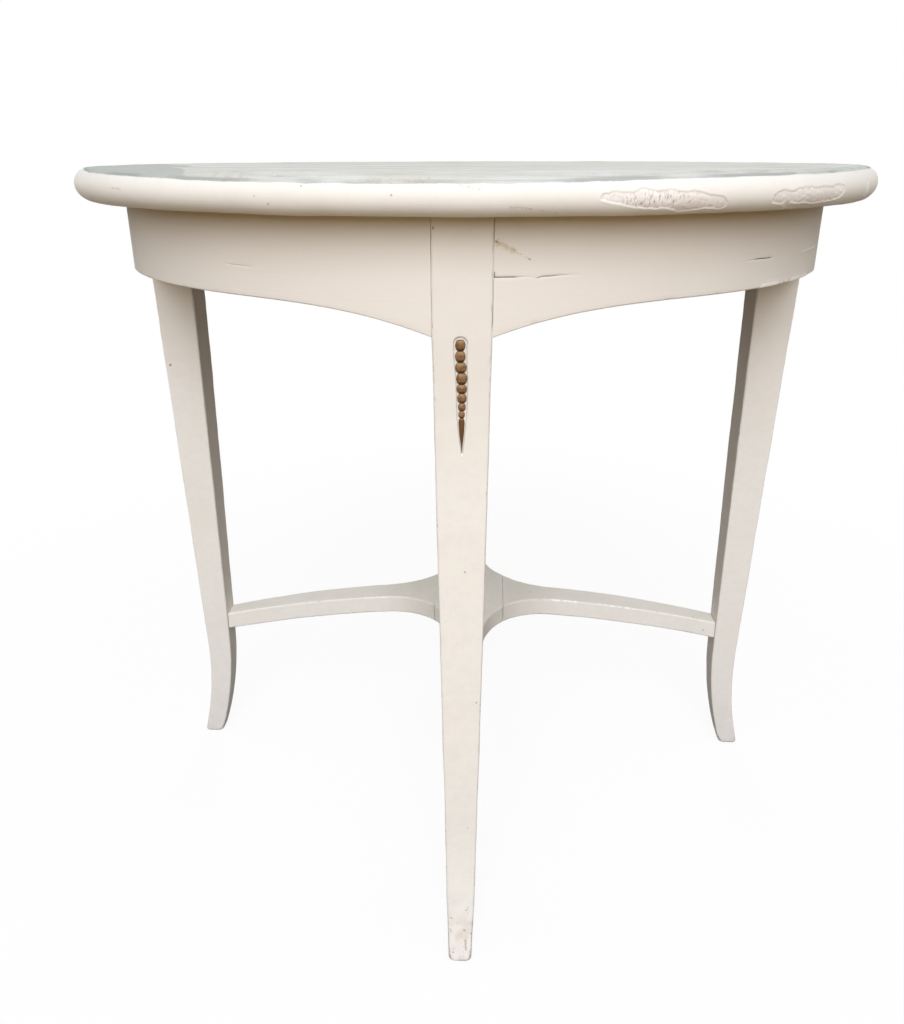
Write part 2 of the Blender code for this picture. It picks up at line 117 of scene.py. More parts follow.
# %% [markdown]
# ## Surfaces from arrays
# A shape here is a grid of points: rows of rings, each ring closed on itself. Quads join the
# grid, and its two ends are closed with fans of triangles or by welding points that meet. The
# faces are turned outwards by the sign of the volume that they enclose. Unevenness comes from
# a sum of plane waves, which has no seam, because it depends only on where a point is.

# %% Steps, waves and places
WAVE_COUNT = 14


def smooth(low, high, value):
    """0 before low, 1 after high, and 3t^2 - 2t^3 on the way."""
    t = np.clip((value - low) / (high - low), 0.0, 1.0)
    return t * t * (3 - 2 * t)


def waves(points, length, seed):
    """Unevenness, mostly from -1 to 1: a sum of sines of k . p + phase, with |k| near 2 pi / length."""
    draw = np.random.default_rng(seed)
    ways = draw.normal(size=(3, WAVE_COUNT))
    ways *= draw.uniform(0.7, 1.4, WAVE_COUNT) / np.linalg.norm(ways, axis=0)
    phases = draw.uniform(0, 2 * np.pi, WAVE_COUNT)
    return np.sin(points @ ways * (2 * np.pi / length) + phases).sum(-1) / np.sqrt(2 * WAVE_COUNT)


def uneven(points, *swells):
    """The sum of several waves, each given by its size, its length and its seed."""
    return sum(size * waves(points, length, seed) for size, length, seed in swells)


def patches(points, length, seed, low, high):
    """1 where the waves are past high and 0 where they are below low, with a smooth step between."""
    return smooth(low, high, waves(points, length, seed))


def hump(value, width):
    """A bell that is 1 at 0 and falls away on both sides: e to the power of -(value / width)^2."""
    return np.exp(-(value / width) ** 2)


def stacked(*axes):
    """Points whose coordinates are these arrays, spread to one shape."""
    return np.stack(np.broadcast_arrays(*axes), -1)


def stations(stops, steps):
    """Values from the first stop to the last, with its own greatest step on each stretch."""
    counts = [max(1, int(np.ceil((b - a) / step))) for a, b, step in zip(stops, stops[1:], steps)]
    runs = [np.linspace(a, b, n, endpoint=False) for a, b, n in zip(stops, stops[1:], counts)]
    return np.append(np.concatenate(runs), stops[-1])


print("waves reach", np.abs(waves(np.linspace((0, 0, 0), (1, 1, 1), 1000), 0.1, 1)).max().round(2))

# %% From a grid to a piece
BODY = "root"
SHARP_ANGLE = np.radians(55)
WELD = 1e-6


def outward(points, quads, triangles):
    """The faces, turned over if the signed volume under them is negative."""
    corners = np.concatenate([triangles, quads[:, [0, 1, 2]], quads[:, [0, 2, 3]]])
    a, b, c = (points[corners[:, i]] for i in range(3))
    if np.einsum("ij,ij->i", a, np.cross(b, c)).sum() < 0:
        return quads[:, ::-1], triangles[:, ::-1]
    return quads, triangles


def new_piece(name, points, quads, triangles, material, nodes, fields, weld):
    """Put a skin into a mesh with its fields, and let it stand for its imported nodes."""
    quads, triangles = outward(points, quads, triangles)
    mesh = bpy.data.meshes.new(name)
    mesh.from_pydata(points.tolist(), [], [*quads.tolist(), *triangles.tolist()])
    for field, values in fields.items():
        kind, key = ("FLOAT", "value") if values.ndim == 1 else ("FLOAT_VECTOR", "vector")
        layer = mesh.attributes.new(field, kind, "POINT")
        layer.data.foreach_set(key, values.astype(np.float32).ravel())
    if weld:
        form = bmesh.new()
        form.from_mesh(mesh)
        bmesh.ops.remove_doubles(form, verts=form.verts, dist=WELD)
        form.to_mesh(mesh)
        form.free()
    mesh.shade_smooth()
    mesh.set_sharp_from_angle(angle=SHARP_ANGLE)
    mesh.materials.append(material)
    piece = bpy.data.objects.new(name, mesh)
    bpy.context.scene.collection.objects.link(piece)
    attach(piece, BODY)
    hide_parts(*nodes)
    size = np.round(np.ptp(points, 0) * 1000, 1)
    print(name, len(quads) * 2 + len(triangles), "triangles,", size, "mm")


def ring_quads(rows, columns):
    """Quads i,j  i,j+1  i+1,j+1  i+1,j of a grid whose columns close on themselves."""
    index = np.arange(rows * columns).reshape(rows, columns)
    here, ahead = index[:-1], index[1:]
    return np.stack([here, np.roll(here, -1, 1), np.roll(ahead, -1, 1), ahead], -1).reshape(-1, 4)


def loft(name, rings, material, nodes, fields, capped=True):
    """A closed skin over rings of points: a fan to its middle closes each end, or equal points are welded."""
    rows, columns = rings.shape[:2]
    first = np.arange(columns)
    last = first + (rows - 1) * columns
    hub = np.full(columns, rows * columns)
    fans = np.concatenate([
        np.stack([hub, np.roll(first, -1), first], -1), np.stack([hub + 1, last, np.roll(last, -1)], -1)])
    ends = 2 if capped else 0
    points, *values = (
        np.concatenate([grid.reshape(-1, *grid.shape[2:]), grid[[0, -1]].mean(1)[:ends]])
        for grid in (rings, *fields.values()))
    new_piece(
        name, points, ring_quads(rows, columns), fans[:ends * columns], material, nodes,
        dict(zip(fields, values)), weld=not capped)


print("a grid of 3 rings with 4 points each has", len(ring_quads(3, 4)), "quads")

# %% [markdown]
# ## Sections with eased corners
# A planed stick is a rectangle in section, but no paint holds on a knife edge: its corners
# are eased by a millimetre or two. A Bevel modifier could do that. Here the section itself is
# a rectangle with round corners, so that the easing can change along the stick and the
# corners can be nicked on their own.

# %% An eased section
CORNER_STEPS = 4
SUPPORT = 0.06


def stops(count):
    """Places from -1 to 1 along one side, with one close to each end to keep the side flat."""
    return np.concatenate([[-1.0], np.linspace(SUPPORT - 1, 1 - SUPPORT, count), [1.0]])


def eased_section(sides):
    """Arrays side_x, side_y, round_x, round_y that run round a rectangle, side by side.

    With half sizes a, b and easing e, the point is side_x (a - e) + round_x e across and
    side_y (b - e) + round_y e up. The sides start at +x and go round by way of +y.
    """
    parts = []
    for number, places in enumerate(sides):
        angle = number * np.pi / 2
        normal = np.array((np.cos(angle), np.sin(angle))).round()
        along = np.array((-normal[1], normal[0]))
        flat = normal + places[:, None] * along
        parts.append(np.hstack([flat, np.tile(normal, (len(places), 1))]))
        turn = angle + np.linspace(0, np.pi / 2, CORNER_STEPS + 2)[1:-1]
        corner = np.tile(normal + along, (CORNER_STEPS, 1))
        parts.append(np.hstack([corner, np.stack([np.cos(turn), np.sin(turn)], -1)]))
    return np.concatenate(parts).T


def arris(round_x, round_y, shape):
    """1 on the middle of each round corner and 0 on the flat sides, for every ring of a grid."""
    return np.broadcast_to(np.abs(2 * round_x * round_y), shape)


print("section points", eased_section([stops(3)] * 4).shape[1])

# %% [markdown]
# ## Shader sums
# Paint is a recipe: a base, plus brush marks, plus yellowing where it has aged, plus dirt in
# its low places. In the node editor that takes dozens of small Math nodes. The class below
# wraps one socket and lets Python's own operators add those nodes, so that a recipe reads as
# a sum. Colours go through Mix nodes and places through Vector Math nodes.

# %% A socket that can be summed


class Wire:
    """One output socket. Numbers and wires mix freely: 1 - mask, height * 0.5 + grain."""

    def __init__(self, tree, socket=None):
        self.tree = tree
        self.socket = socket

    def node(self, kind, settings=None, sockets=None, output=0):
        """Add a node: its settings first, then the values or wires of its sockets."""
        made = self.tree.nodes.new(kind)
        for name, value in (settings or {}).items():
            setattr(made, name, value)
        for name, value in (sockets or {}).items():
            if isinstance(value, Wire):
                self.tree.links.new(value.socket, made.inputs[name])
            else:
                made.inputs[name].default_value = value
        return Wire(self.tree, made.outputs[output])

    def math(self, operation, *values):
        """A sum or function of numbers and wires."""
        return self.node("ShaderNodeMath", {"operation": operation}, dict(enumerate(values)))

    def __add__(self, other):
        return self.math("ADD", self, other)

    __radd__ = __add__

    def __sub__(self, other):
        return self.math("SUBTRACT", self, other)

    def __rsub__(self, other):
        return self.math("SUBTRACT", other, self)

    def __mul__(self, other):
        return self.math("MULTIPLY", self, other)

    __rmul__ = __mul__

    def __truediv__(self, other):
        return self.math("DIVIDE", self, other)

    def __rtruediv__(self, other):
        return self.math("DIVIDE", other, self)

    def most(self, other):
        """The greater of two wires."""
        return self.math("MAXIMUM", self, other)

    def rise(self, low, high):
        """0 before low and 1 after high, with a smooth step between them."""
        return self.node(
            "ShaderNodeMapRange", {"interpolation_type": "SMOOTHSTEP"},
            {"Value": self, "From Min": low, "From Max": high})

    def tint(self, low, high):
        """The colour low where this wire is 0 and the colour high where it is 1."""
        return self.node("ShaderNodeMix", {"data_type": "RGBA"}, {0: self, 6: low, 7: high}, 2)

    def vector(self, operation, other, output=0):
        """A sum or function of two vectors: output 0 is a vector and output 1 a number."""
        return self.node("ShaderNodeVectorMath", {"operation": operation}, {0: self, 1: other}, output)

    def parts(self):
        """The three numbers of a vector."""
        split = self.node("ShaderNodeSeparateXYZ", None, {0: self}).socket.node
        return [Wire(self.tree, socket) for socket in split.outputs]

    def noise(self, scale, detail=2.0, roughness=0.5):
        """Noise from 0 to 1 at this place, with scale cells to the metre."""
        return self.node(
            "ShaderNodeTexNoise", None,
            {"Vector": self, "Scale": scale, "Detail": detail, "Roughness": roughness})

    def drawn(self, stretch, detail, roughness=0.5):
        """Noise with its own number of cells to the metre along x, y and z."""
        return self.vector("MULTIPLY", stretch).noise(1.0, detail, roughness)

    def cells(self, scale, feature="F1"):
        """Distance from the nearest of scattered points, or from the edge of its cell."""
        return self.node(
            "ShaderNodeTexVoronoi", {"feature": feature}, {"Vector": self, "Scale": scale}, "Distance")

    def from_axis(self):
        """Distance of this place from the table's upright axis."""
        return self.vector("MULTIPLY", (1, 1, 0)).vector("LENGTH", (0, 0, 0), 1)

    def looking_up(self):
        """1 on a level face that looks up, 0 on an upright face, less than 0 underneath."""
        return self.node("ShaderNodeNewGeometry", None, None, "Normal").parts()[2]

    def field(self, name):
        """A number that the mesh carries at each point."""
        return self.node("ShaderNodeAttribute", {"attribute_name": name}, None, "Fac")


# %% The start and the end of a finish
def colour(red, green, blue):
    """An opaque colour."""
    return (red, green, blue, 1.0)


def coated(shade, *layers):
    """A colour under several layers, each a mask and the colour that shows where the mask is 1."""
    for mask, layer in layers:
        shade = mask.tint(shade, layer)
    return shade


def between(mask, low, high):
    """The number low where the mask is 0 and high where it is 1."""
    return low + (high - low) * mask


def new_finish(name):
    """An empty material with a wire to its place in the table, and one along its grain."""
    material = bpy.data.materials.new(name)
    material.use_nodes = True
    place = Wire(material.node_tree).node("ShaderNodeTexCoord", None, None, "Object")
    grain = place.node("ShaderNodeAttribute", {"attribute_name": "grain"}, None, "Vector")
    return material, place, grain


def close_finish(material, shade, roughness, height, depth, **fixed):
    """Wire a recipe to the shader: colour, roughness and a bump of the given depth in metres."""
    shader = material.node_tree.nodes["Principled BSDF"]
    for name, value in fixed.items():
        shader.inputs[name.replace("_", " ")].default_value = value
    normal = height.node("ShaderNodeBump", None, {"Height": height, "Distance": depth, "Strength": 1.0})
    links = material.node_tree.links
    links.new(shade.socket, shader.inputs["Base Color"])
    links.new(roughness.socket, shader.inputs["Roughness"])
    links.new(normal.socket, shader.inputs["Normal"])
    print(material.name, len(material.node_tree.nodes), "nodes")
    return material


# %% [markdown]
# ## Marks at a place
# Old furniture has marks that belong to one spot: a nail dot, a scuff, a stain. Since every
# piece sits at the origin, a place in the table is also a place on the piece, and a mark can
# be the distance to a short line in space. The distance is taken from a slightly shaken
# place, so that no mark has a clean outline.

# %% Marks
SHAKE_SCALE = 420.0
STROKE_CORE = 0.3


def shaken(place, reach):
    """The place moved about by noise, by up to the reach in metres."""
    cloud = place.node(
        "ShaderNodeTexNoise", None, {"Vector": place, "Scale": SHAKE_SCALE, "Detail": 2.0}, "Color")
    centred = cloud.vector("SUBTRACT", (0.5, 0.5, 0.5))
    return place.vector("ADD", centred.vector("MULTIPLY", (reach, reach, reach)))


def stroke(place, start, end, radius):
    """1 in the core of the line from start to end, falling to 0 at the radius from it.

    The nearest point of the line is start + t (end - start), where t is the share of the way
    that the place lies along it, kept between 0 and 1.
    """
    way = np.subtract(end, start)
    length = float(way @ way)
    offset = place.vector("SUBTRACT", tuple(start))
    if length == 0:
        gap = offset.vector("LENGTH", (0, 0, 0), 1)
    else:
        share = offset.vector("DOT_PRODUCT", tuple(way), 1) / length
        share = share.node("ShaderNodeClamp", None, {"Value": share})
        foot = share.node("ShaderNodeVectorMath", {"operation": "SCALE"}, {0: tuple(way), "Scale": share})
        gap = offset.vector("DISTANCE", foot, 1)
    return gap.rise(radius, radius * STROKE_CORE)


def strokes(place, marks):
    """The most of several strokes, each a start, an end and a radius in metres."""
    return reduce(Wire.most, [stroke(place, *mark) for mark in marks])


def dots(place, marks):
    """The most of several round marks, each a place and a radius in metres."""
    return strokes(place, [(spot, spot, radius) for spot, radius in marks])


# %% [markdown]
# ## Cream paint
# Oil paint laid on with a brush keeps faint lines along the stroke, yellows in clouds as it
# ages, and gathers fly specks. On a real table the coat is thinner on the arrises, where
# hands and shoes have rubbed it. A single colour would look like plastic, so the recipe below
# layers those four things. The brush lines follow the grain field that each piece carries.

# %% The coat of paint
CREAM = colour(0.832, 0.802, 0.742)
ROSY = colour(0.842, 0.796, 0.748)
YELLOWED = colour(0.800, 0.752, 0.675)
GREYED = colour(0.765, 0.740, 0.695)
CHALK = colour(0.890, 0.860, 0.815)
FRESH = colour(0.960, 0.945, 0.910)
DIRT = colour(0.240, 0.180, 0.115)
BARE = colour(0.400, 0.300, 0.195)
BRUSH_STRETCH = (10.0, 620.0, 620.0)
PAINT_GLOSS = 0.12
PAINT_RELIEF = 0.00016


def paint_coat(place, grain):
    """Colour, roughness and height of brushed paint, before wear."""
    lines = grain.drawn(BRUSH_STRETCH, 3.0, 0.6)
    cloud = place.noise(14.0, 3.0)
    specks = shaken(place, 0.002).cells(46.0).rise(0.030, 0.012) * place.noise(21.0, 1.0).rise(0.60, 0.72)
    shade = coated(
        CREAM, (place.noise(33.0, 2.0).rise(0.35, 0.7), ROSY), (cloud.rise(0.45, 0.80) * 0.6, YELLOWED),
        (place.noise(130.0, 5.0, 0.7).rise(0.40, 0.64) * 0.4, GREYED),
        (((lines - 0.5) * 0.16 + 0.10).rise(0.0, 1.0), CHALK), (specks * 0.65, DIRT))
    roughness = 0.46 + cloud * 0.14 + (lines - 0.5) * 0.10
    height = lines * 0.6 + place.noise(900.0, 2.0) * 0.4 - specks * 0.5
    return shade, roughness, height


print("cream paint", CREAM[:3])

# %% [markdown]
# ## The top's finish
# The face of the top has lost most of its paint. What is left is silvery wood with chalky
# streaks along the boards, a darker zone on the left, whose edge wanders away from the front,
# and a few rusty stains by the front edge. The rim still has its coat, washed a little paler than
# the rest. A mask could be painted by hand; here each point of the mesh carries its distance from
# the paint's upper edge, and noise makes that edge ragged.

# %% Weathered wood
SILVER = colour(0.655, 0.658, 0.622)
SLATE = colour(0.412, 0.446, 0.426)
CHALKY = colour(0.825, 0.822, 0.780)
RUST = colour(0.570, 0.400, 0.280)
BEIGE = colour(0.700, 0.670, 0.580)
STREAK_STRETCH = (5.0, 80.0, 900.0)
BAND_STRETCH = (3.0, 24.0, 300.0)
FIBRE_STRETCH = (50.0, 420.0, 2600.0)
DARK_ZONE_EDGE = (-0.1745, -0.295, 0.0)
DARK_ZONE_WAY = (-0.939, -0.345, 0.0)
DARK_ZONE_BEND = 0.11
STAINS = (
    ((-0.147, -0.317, 0.649), (-0.136, -0.320, 0.648), 0.0075),
    ((-0.152, -0.309, 0.651), (-0.140, -0.309, 0.651), 0.0055),
    ((-0.054, -0.3435, 0.648), (-0.040, -0.3450, 0.648), 0.0028),
    ((-0.036, -0.3455, 0.648), (-0.018, -0.3465, 0.648), 0.0026))


def weathered_wood(place):
    """Colour, roughness and height of the bare top: streaks along the boards, crumbs and stains."""
    streaks = place.drawn(STREAK_STRETCH, 6.0, 0.66)
    bands = place.drawn(BAND_STRETCH, 4.0, 0.6)
    fibre = place.drawn(FIBRE_STRETCH, 3.0, 0.6)
    beyond = place.vector("SUBTRACT", DARK_ZONE_EDGE).vector("DOT_PRODUCT", DARK_ZONE_WAY, 1)
    bend = (place.noise(8.0, 3.0) - 0.5) * place.parts()[1].rise(-0.27, -0.10) * DARK_ZONE_BEND
    dark_zone = (beyond + bend + (place.noise(90.0, 2.0) - 0.5) * 0.006).rise(0.0, 0.004)
    chalk = (streaks * 0.75 + bands * 0.45 - dark_zone * 0.22).rise(0.42, 0.72)
    crumbs = shaken(place, 0.003).cells(75.0).rise(0.14, 0.06) * place.noise(30.0, 1.0).rise(0.38, 0.52)
    stains = strokes(shaken(place, 0.010), STAINS) * place.noise(110.0, 3.0).rise(0.38, 0.60)
    shade = coated(
        SILVER, (chalk, CHALKY), (place.noise(24.0, 3.0).rise(0.45, 0.70) * 0.6, BEIGE),
        ((1 - streaks).rise(0.52, 0.70) * 0.6, SLATE), (dark_zone * (0.35 + fibre * 0.4), SLATE),
        (fibre.rise(0.56, 0.72) * 0.45, CHALKY), (fibre.rise(0.44, 0.30) * 0.45, SLATE),
        (crumbs * 0.8, CHALK), (stains * 0.40, RUST))
    roughness = 0.62 + streaks * 0.2 - dark_zone * 0.12
    return shade, roughness, streaks + chalk * 0.3 + crumbs * 0.5


print("silvery wood", SILVER[:3], "dark zone", SLATE[:3])

# %% Bare pine
PINE = colour(0.470, 0.315, 0.175)
PINE_LATE = colour(0.300, 0.175, 0.085)
PINE_STRETCH, PINE_FIBRE = (6.0, 90.0, 90.0), (30.0, 900.0, 900.0)
YEAR_RINGS = 42.0


def pine_wood(place):
    """Colour, roughness and height of old unpainted pine: dark late wood between pale bands."""
    phase = place.drawn(PINE_STRETCH, 3.0, 0.55) * YEAR_RINGS
    rings = phase.math("SINE", phase) * 0.5 + 0.5
    fibre = place.drawn(PINE_FIBRE, 2.0)
    shade = (rings.rise(0.55, 1.0) * 0.6 + fibre * 0.25).tint(PINE, PINE_LATE)
    return shade, 0.68 + fibre * 0.2, rings * 0.4 + fibre * 0.6


print("old pine", PINE[:3])

# %% The top's recipe
LIP_DARK = colour(0.310, 0.322, 0.305)
FLAKED = colour(0.910, 0.850, 0.825)
FLAKE_PIT = colour(0.400, 0.290, 0.265)
HATCH_STRETCH = (800.0, 260.0, 0.0)
BARE_UNDER = 0.0345
TOP_RELIEF = 0.00022
END_CHIP = 0.334
RIM_DOTS = (
    ((-0.0941, -0.3360, 0.6449), 0.0010), ((-0.1165, -0.3283, 0.6346), 0.0012),
    ((-0.0400, -0.3475, 0.6404), 0.0011), ((-0.1250, -0.3262, 0.6390), 0.0009))
RIM_SCRATCHES = (
    ((-0.0003, -0.3486, 0.6458), (0.0122, -0.3490, 0.6431), 0.0011),
    ((0.0278, -0.3468, 0.6339), (0.0420, -0.3440, 0.6330), 0.0012),
    ((0.0420, -0.3440, 0.6330), (0.0577, -0.3397, 0.6302), 0.0010),
    ((-0.2427, -0.2518, 0.6409), (-0.2336, -0.2604, 0.6406), 0.0009))


def top_finish():
    """Weathered face, painted rim with its flaked patches, and bare pine underneath."""
    material, place, grain = new_finish("weathered_top_paint")
    lip, flake, pitted = (place.field(name) for name in ("lip", "flake", "pitted"))
    ragged = (place.noise(60.0, 2.0) - 0.5) * 0.0016 + (place.noise(600.0, 2.0) - 0.5) * 0.0006
    painted = (lip + ragged).rise(-0.0003, 0.0005)
    under = (lip + ragged * 3.0).rise(BARE_UNDER, BARE_UNDER + 0.001)
    face, face_rough, face_height = weathered_wood(place)
    coat, coat_rough, coat_height = paint_coat(place, grain)
    wood, wood_rough, wood_height = pine_wood(place)

    worn_line = lip.rise(-0.0036, -0.0018) * (1 - painted) * place.noise(18.0, 4.0).rise(0.38, 0.6)
    face = coated(face, (lip.rise(-0.014, -0.003) * 0.4, SLATE), (worn_line * 0.6, LIP_DARK))
    rough_place = shaken(place, 0.0012)
    scratches = strokes(rough_place, RIM_SCRATCHES) * place.noise(500.0, 2.0).rise(0.40, 0.58)
    coat = coated(
        coat, (0.20 + place.noise(9.0, 2.0) * 0.40, FRESH), (scratches * 0.36, BARE),
        (dots(rough_place, RIM_DOTS) * 0.55, DIRT))
    crumbs = place.noise(620.0, 3.0, 0.65)
    scales = shaken(place, 0.004).cells(230.0, "DISTANCE_TO_EDGE").rise(0.10, 0.0)
    hatch = grain.drawn(HATCH_STRETCH, 2.0).rise(0.48, 0.34)
    plaster = coated(
        FLAKED, (place.noise(170.0, 3.0, 0.6).rise(0.40, 0.66) * 0.8, FRESH),
        (scales * crumbs.rise(0.42, 0.58) * 0.6, FRESH), (hatch * (0.06 + pitted * 0.75), FLAKE_PIT),
        ((grain.parts()[0] / END_CHIP).rise(0.99, 1.0), FRESH))
    # A painted shadow darkens each flake's upper edge, and a painted highlight whitens its lower edge.
    shade = coated(
        painted.tint(face, coat), (flake, plaster),
        (place.field("flake_top_shadow") * crumbs.rise(0.45, 0.62) * 0.15, BARE),
        (place.field("flake_foot_highlight") * 0.8, FRESH), (under, wood))
    roughness = between(painted, face_rough, coat_rough)
    roughness = between(under, between(flake, roughness, 0.85), wood_rough)
    height = between(painted, face_height * 0.6, coat_height * 0.5 + 0.9)
    height = between(under, between(flake, height, crumbs * 0.9), wood_height)
    return close_finish(material, shade, roughness, height, TOP_RELIEF, Specular_IOR_Level=PAINT_GLOSS / 2)


weathered_top = top_finish()

# %% [markdown]
# ## The top
# Five boards were glued edge to edge, sawn round and given a half-round rim. A disc could be
# spun from a profile, but then no line of the mesh would follow the straight joints between
# the boards. So the rows here run straight across, from the front edge to the back: each
# row is a closed loop over the face, round the right rim, back underneath and up the left
# rim. The rows are close together where the paint has flaked, so that the flakes have depth.

# %% Sizes of the top, read from the solids
BOARDS = [f"top_board_{number}" for number in range(1, 6)]
boards = [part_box(name) for name in BOARDS]
TOP_RADIUS = cad_box[1].x
UNDERSIDE, TABLE_HEIGHT = boards[2][0].z, boards[2][1].z
RIM = (TABLE_HEIGHT - UNDERSIDE) / 2
FLAT = TOP_RADIUS - RIM
BOARD_JOINTS = np.array([(front[1].y + back[0].y) / 2 for front, back in zip(boards, boards[1:])])
print("top", round(TOP_RADIUS * 2, 4), "across, joints at", BOARD_JOINTS.round(4))

# %% Flaked patches
# Where the rim's paint ends: azimuths from the front and angles above the rim's middle.
LIP_AZIMUTHS = (-180, -120, -90, -70, -54, -45, -34, -24, -3, 12, 24, 44, 63, 90, 120, 180)
LIP_RISES = (60, 80, 105, 85, 52, 46, 38.5, 31.5, 29.5, 34, 42.5, 50, 62, 90, 75, 60)

# Each flaked patch is a chain of tapering capsules on the unrolled rim. An end is given by
# its azimuth from the front, its angle above the rim's middle, both in degrees, and its radius.
FLAKES = (
    ((13.6, -8, 0.0024), (17.4, -13, 0.0050)),
    ((17.4, -13, 0.0050), (22.8, -22, 0.0063)),
    ((22.8, -22, 0.0063), (27.0, -27, 0.0039)),
    ((34.6, -17, 0.0043), (41.0, -17, 0.0052)),
    ((41.0, -17, 0.0052), (47.0, -13, 0.0050)),
    ((36.7, -30, 0.0034), (37.2, -52, 0.0016)),
    ((56.2, 2, 0.0034), (56.6, -18, 0.0038)))
FLAKE_RAGGED = ((0.0012, 0.019, 11), (0.0005, 0.007, 12), (0.0003, 0.0022, 13))
FLAKE_DEPTH, FLAKE_CRUMBLE = 0.00022, (0.00009, 0.0034, 16)
FLAKE_EDGE, FLAKE_LINE, FLAKE_FOOT = (0.0003, -0.0004), 0.0005, 0.0003
FLAKE_LIFT, LIFTED_AT, LIFTED_WIDTH = 0.00012, 0.0008, 0.0006
PITTED_AZIMUTH, PITTED_RISE = (19.6, 4.2), (-16.0, 24.0)


def on_rim(azimuth, rise):
    """Metres along the rim and up its round, from angles in degrees."""
    return np.stack([np.radians(azimuth) * TOP_RADIUS, np.radians(rise) * RIM], -1)


def flake_gap(spots):
    """Distance from the nearest flaked patch, less than 0 inside it."""
    gap = np.full(spots.shape[:-1], TOP_RADIUS)
    for (az0, rise0, radius0), (az1, rise1, radius1) in FLAKES:
        start, end = on_rim(az0, rise0), on_rim(az1, rise1)
        way = end - start
        share = np.clip((spots - start) @ way / (way @ way), 0, 1)
        foot = start + share[..., None] * way
        reach = radius0 + (radius1 - radius0) * share
        gap = np.minimum(gap, np.linalg.norm(spots - foot, axis=-1) - reach)
    return gap


print(len(FLAKES), "stretches of flaked paint")

# %% Rows and columns of the top
JOINT_HALF_WIDTH, JOINT_DEPTH = 0.0006, 0.0005
COARSE_ROWS, FINE_ROWS = 0.0055, 0.0008
FINE_FROM, FINE_TO = -79.0, -28.0
FACE_COLUMNS, RIM_COLUMNS, UNDER_COLUMNS = 27, 60, 9


def top_rows():
    """Row angles from the front edge at -90 degrees to the back edge, with three at each joint."""
    plain = stations(
        np.radians((-90, FINE_FROM, FINE_TO, 90)),
        np.array((COARSE_ROWS, FINE_ROWS, COARSE_ROWS)) / TOP_RADIUS)
    beside = BOARD_JOINTS[:, None] + np.array((-1, 0, 1)) * JOINT_HALF_WIDTH
    return np.unique(np.concatenate([plain, np.arcsin(beside.ravel() / FLAT)]))


def top_columns():
    """Side from -1 to 1 and rim angle of each point of a row: face, right rim, under, left rim."""
    face, under = np.linspace(-1, 1, FACE_COLUMNS), np.linspace(1, -1, UNDER_COLUMNS)
    arc = np.linspace(np.pi / 2, -np.pi / 2, RIM_COLUMNS + 2)[1:-1]
    side = np.concatenate([face, np.ones(RIM_COLUMNS), under, -np.ones(RIM_COLUMNS)])
    rise = np.concatenate([
        np.full(FACE_COLUMNS, np.pi / 2), arc, np.full(UNDER_COLUMNS, -np.pi / 2), arc[::-1]])
    return side, rise


print(len(top_rows()), "rows of", len(top_columns()[0]), "points")

# %% Shape the top
TOP_HOLLOW, TOP_SWELLS = 0.0003, ((0.00018, 0.11, 14), (0.00012, 0.035, 15))


def make_top():
    """The round top: x = side (flat + rim cos rise) cos row, y = (flat + rim cos rise) sin row."""
    rows = top_rows()[:, None]
    side, rise = top_columns()
    on_face, on_arc = rise >= np.pi / 2, np.abs(rise) < np.pi / 2
    reach = FLAT + RIM * np.cos(rise)
    x, y = side * reach * np.cos(rows), reach * np.sin(rows)
    points = stacked(x, y, TABLE_HEIGHT - RIM + RIM * np.sin(rise))
    azimuth, radius = np.degrees(np.arctan2(x, -y)), np.hypot(x, y)
    angle = np.degrees(np.broadcast_to(rise, azimuth.shape))
    inside = np.where(on_arc, 0, np.sign(np.sin(rise)) * (radius - FLAT))
    profile = RIM * (np.pi / 2 - rise) + inside
    lip = profile - RIM * np.radians(90 - np.interp(azimuth, LIP_AZIMUTHS, LIP_RISES))

    gap = flake_gap(on_rim(azimuth, angle)) + uneven(points, *FLAKE_RAGGED)
    flake = smooth(*FLAKE_EDGE, gap) * on_arc
    lower = np.gradient(gap, axis=1) * side > 0
    (at_azimuth, wide), (at_rise, tall) = PITTED_AZIMUTH, PITTED_RISE
    pitted = hump(azimuth - at_azimuth, wide) * hump(angle - at_rise, tall)
    # The flakes' upper edges carry a painted shadow and their lower edges a painted highlight.
    fields = {
        "lip": lip, "flake": flake, "flake_top_shadow": hump(gap, FLAKE_LINE) * on_arc * ~lower,
        "flake_foot_highlight": hump(gap - FLAKE_FOOT, FLAKE_LINE) * on_arc * lower, "pitted": flake * pitted,
        "grain": stacked(np.radians(azimuth) * TOP_RADIUS, profile, 0)}

    joint = np.min(np.abs(y[..., None] - BOARD_JOINTS), -1) < JOINT_HALF_WIDTH / 2
    sink = JOINT_DEPTH * joint * on_face + TOP_HOLLOW + uneven(points, *TOP_SWELLS)
    sink = sink + flake * (FLAKE_DEPTH + uneven(points, FLAKE_CRUMBLE))
    sink = sink - FLAKE_LIFT * hump(gap - LIFTED_AT, LIFTED_WIDTH) * on_arc
    lean = np.cos(rise) / np.maximum(radius, FLAT / 2)
    normal = stacked(x * lean, y * lean, np.sin(rise))
    points = points - normal * np.maximum(sink, 0)[..., None]
    loft("table_top", points, weathered_top, BOARDS, fields, capped=False)


make_top()

# %% [markdown]
# ## Paint on the frame
# The apron, the legs and the stretcher share one coat. Towards the top it is painted darker, a
# painted shade, and its wear follows the shape: every arris is rubbed chalky, and here and there
# a nick goes down to the wood. A Bevel node or a curvature map could find the arrises. Here the
# mesh says where they are, in a field that is 1 on a round corner, which is exact and also
# survives an export.

# %% Wear along the arrises
CRACK_SHADE = colour(0.110, 0.078, 0.050)
DUST = colour(0.770, 0.740, 0.655)
SHADED_CREAM = colour(0.750, 0.705, 0.645)


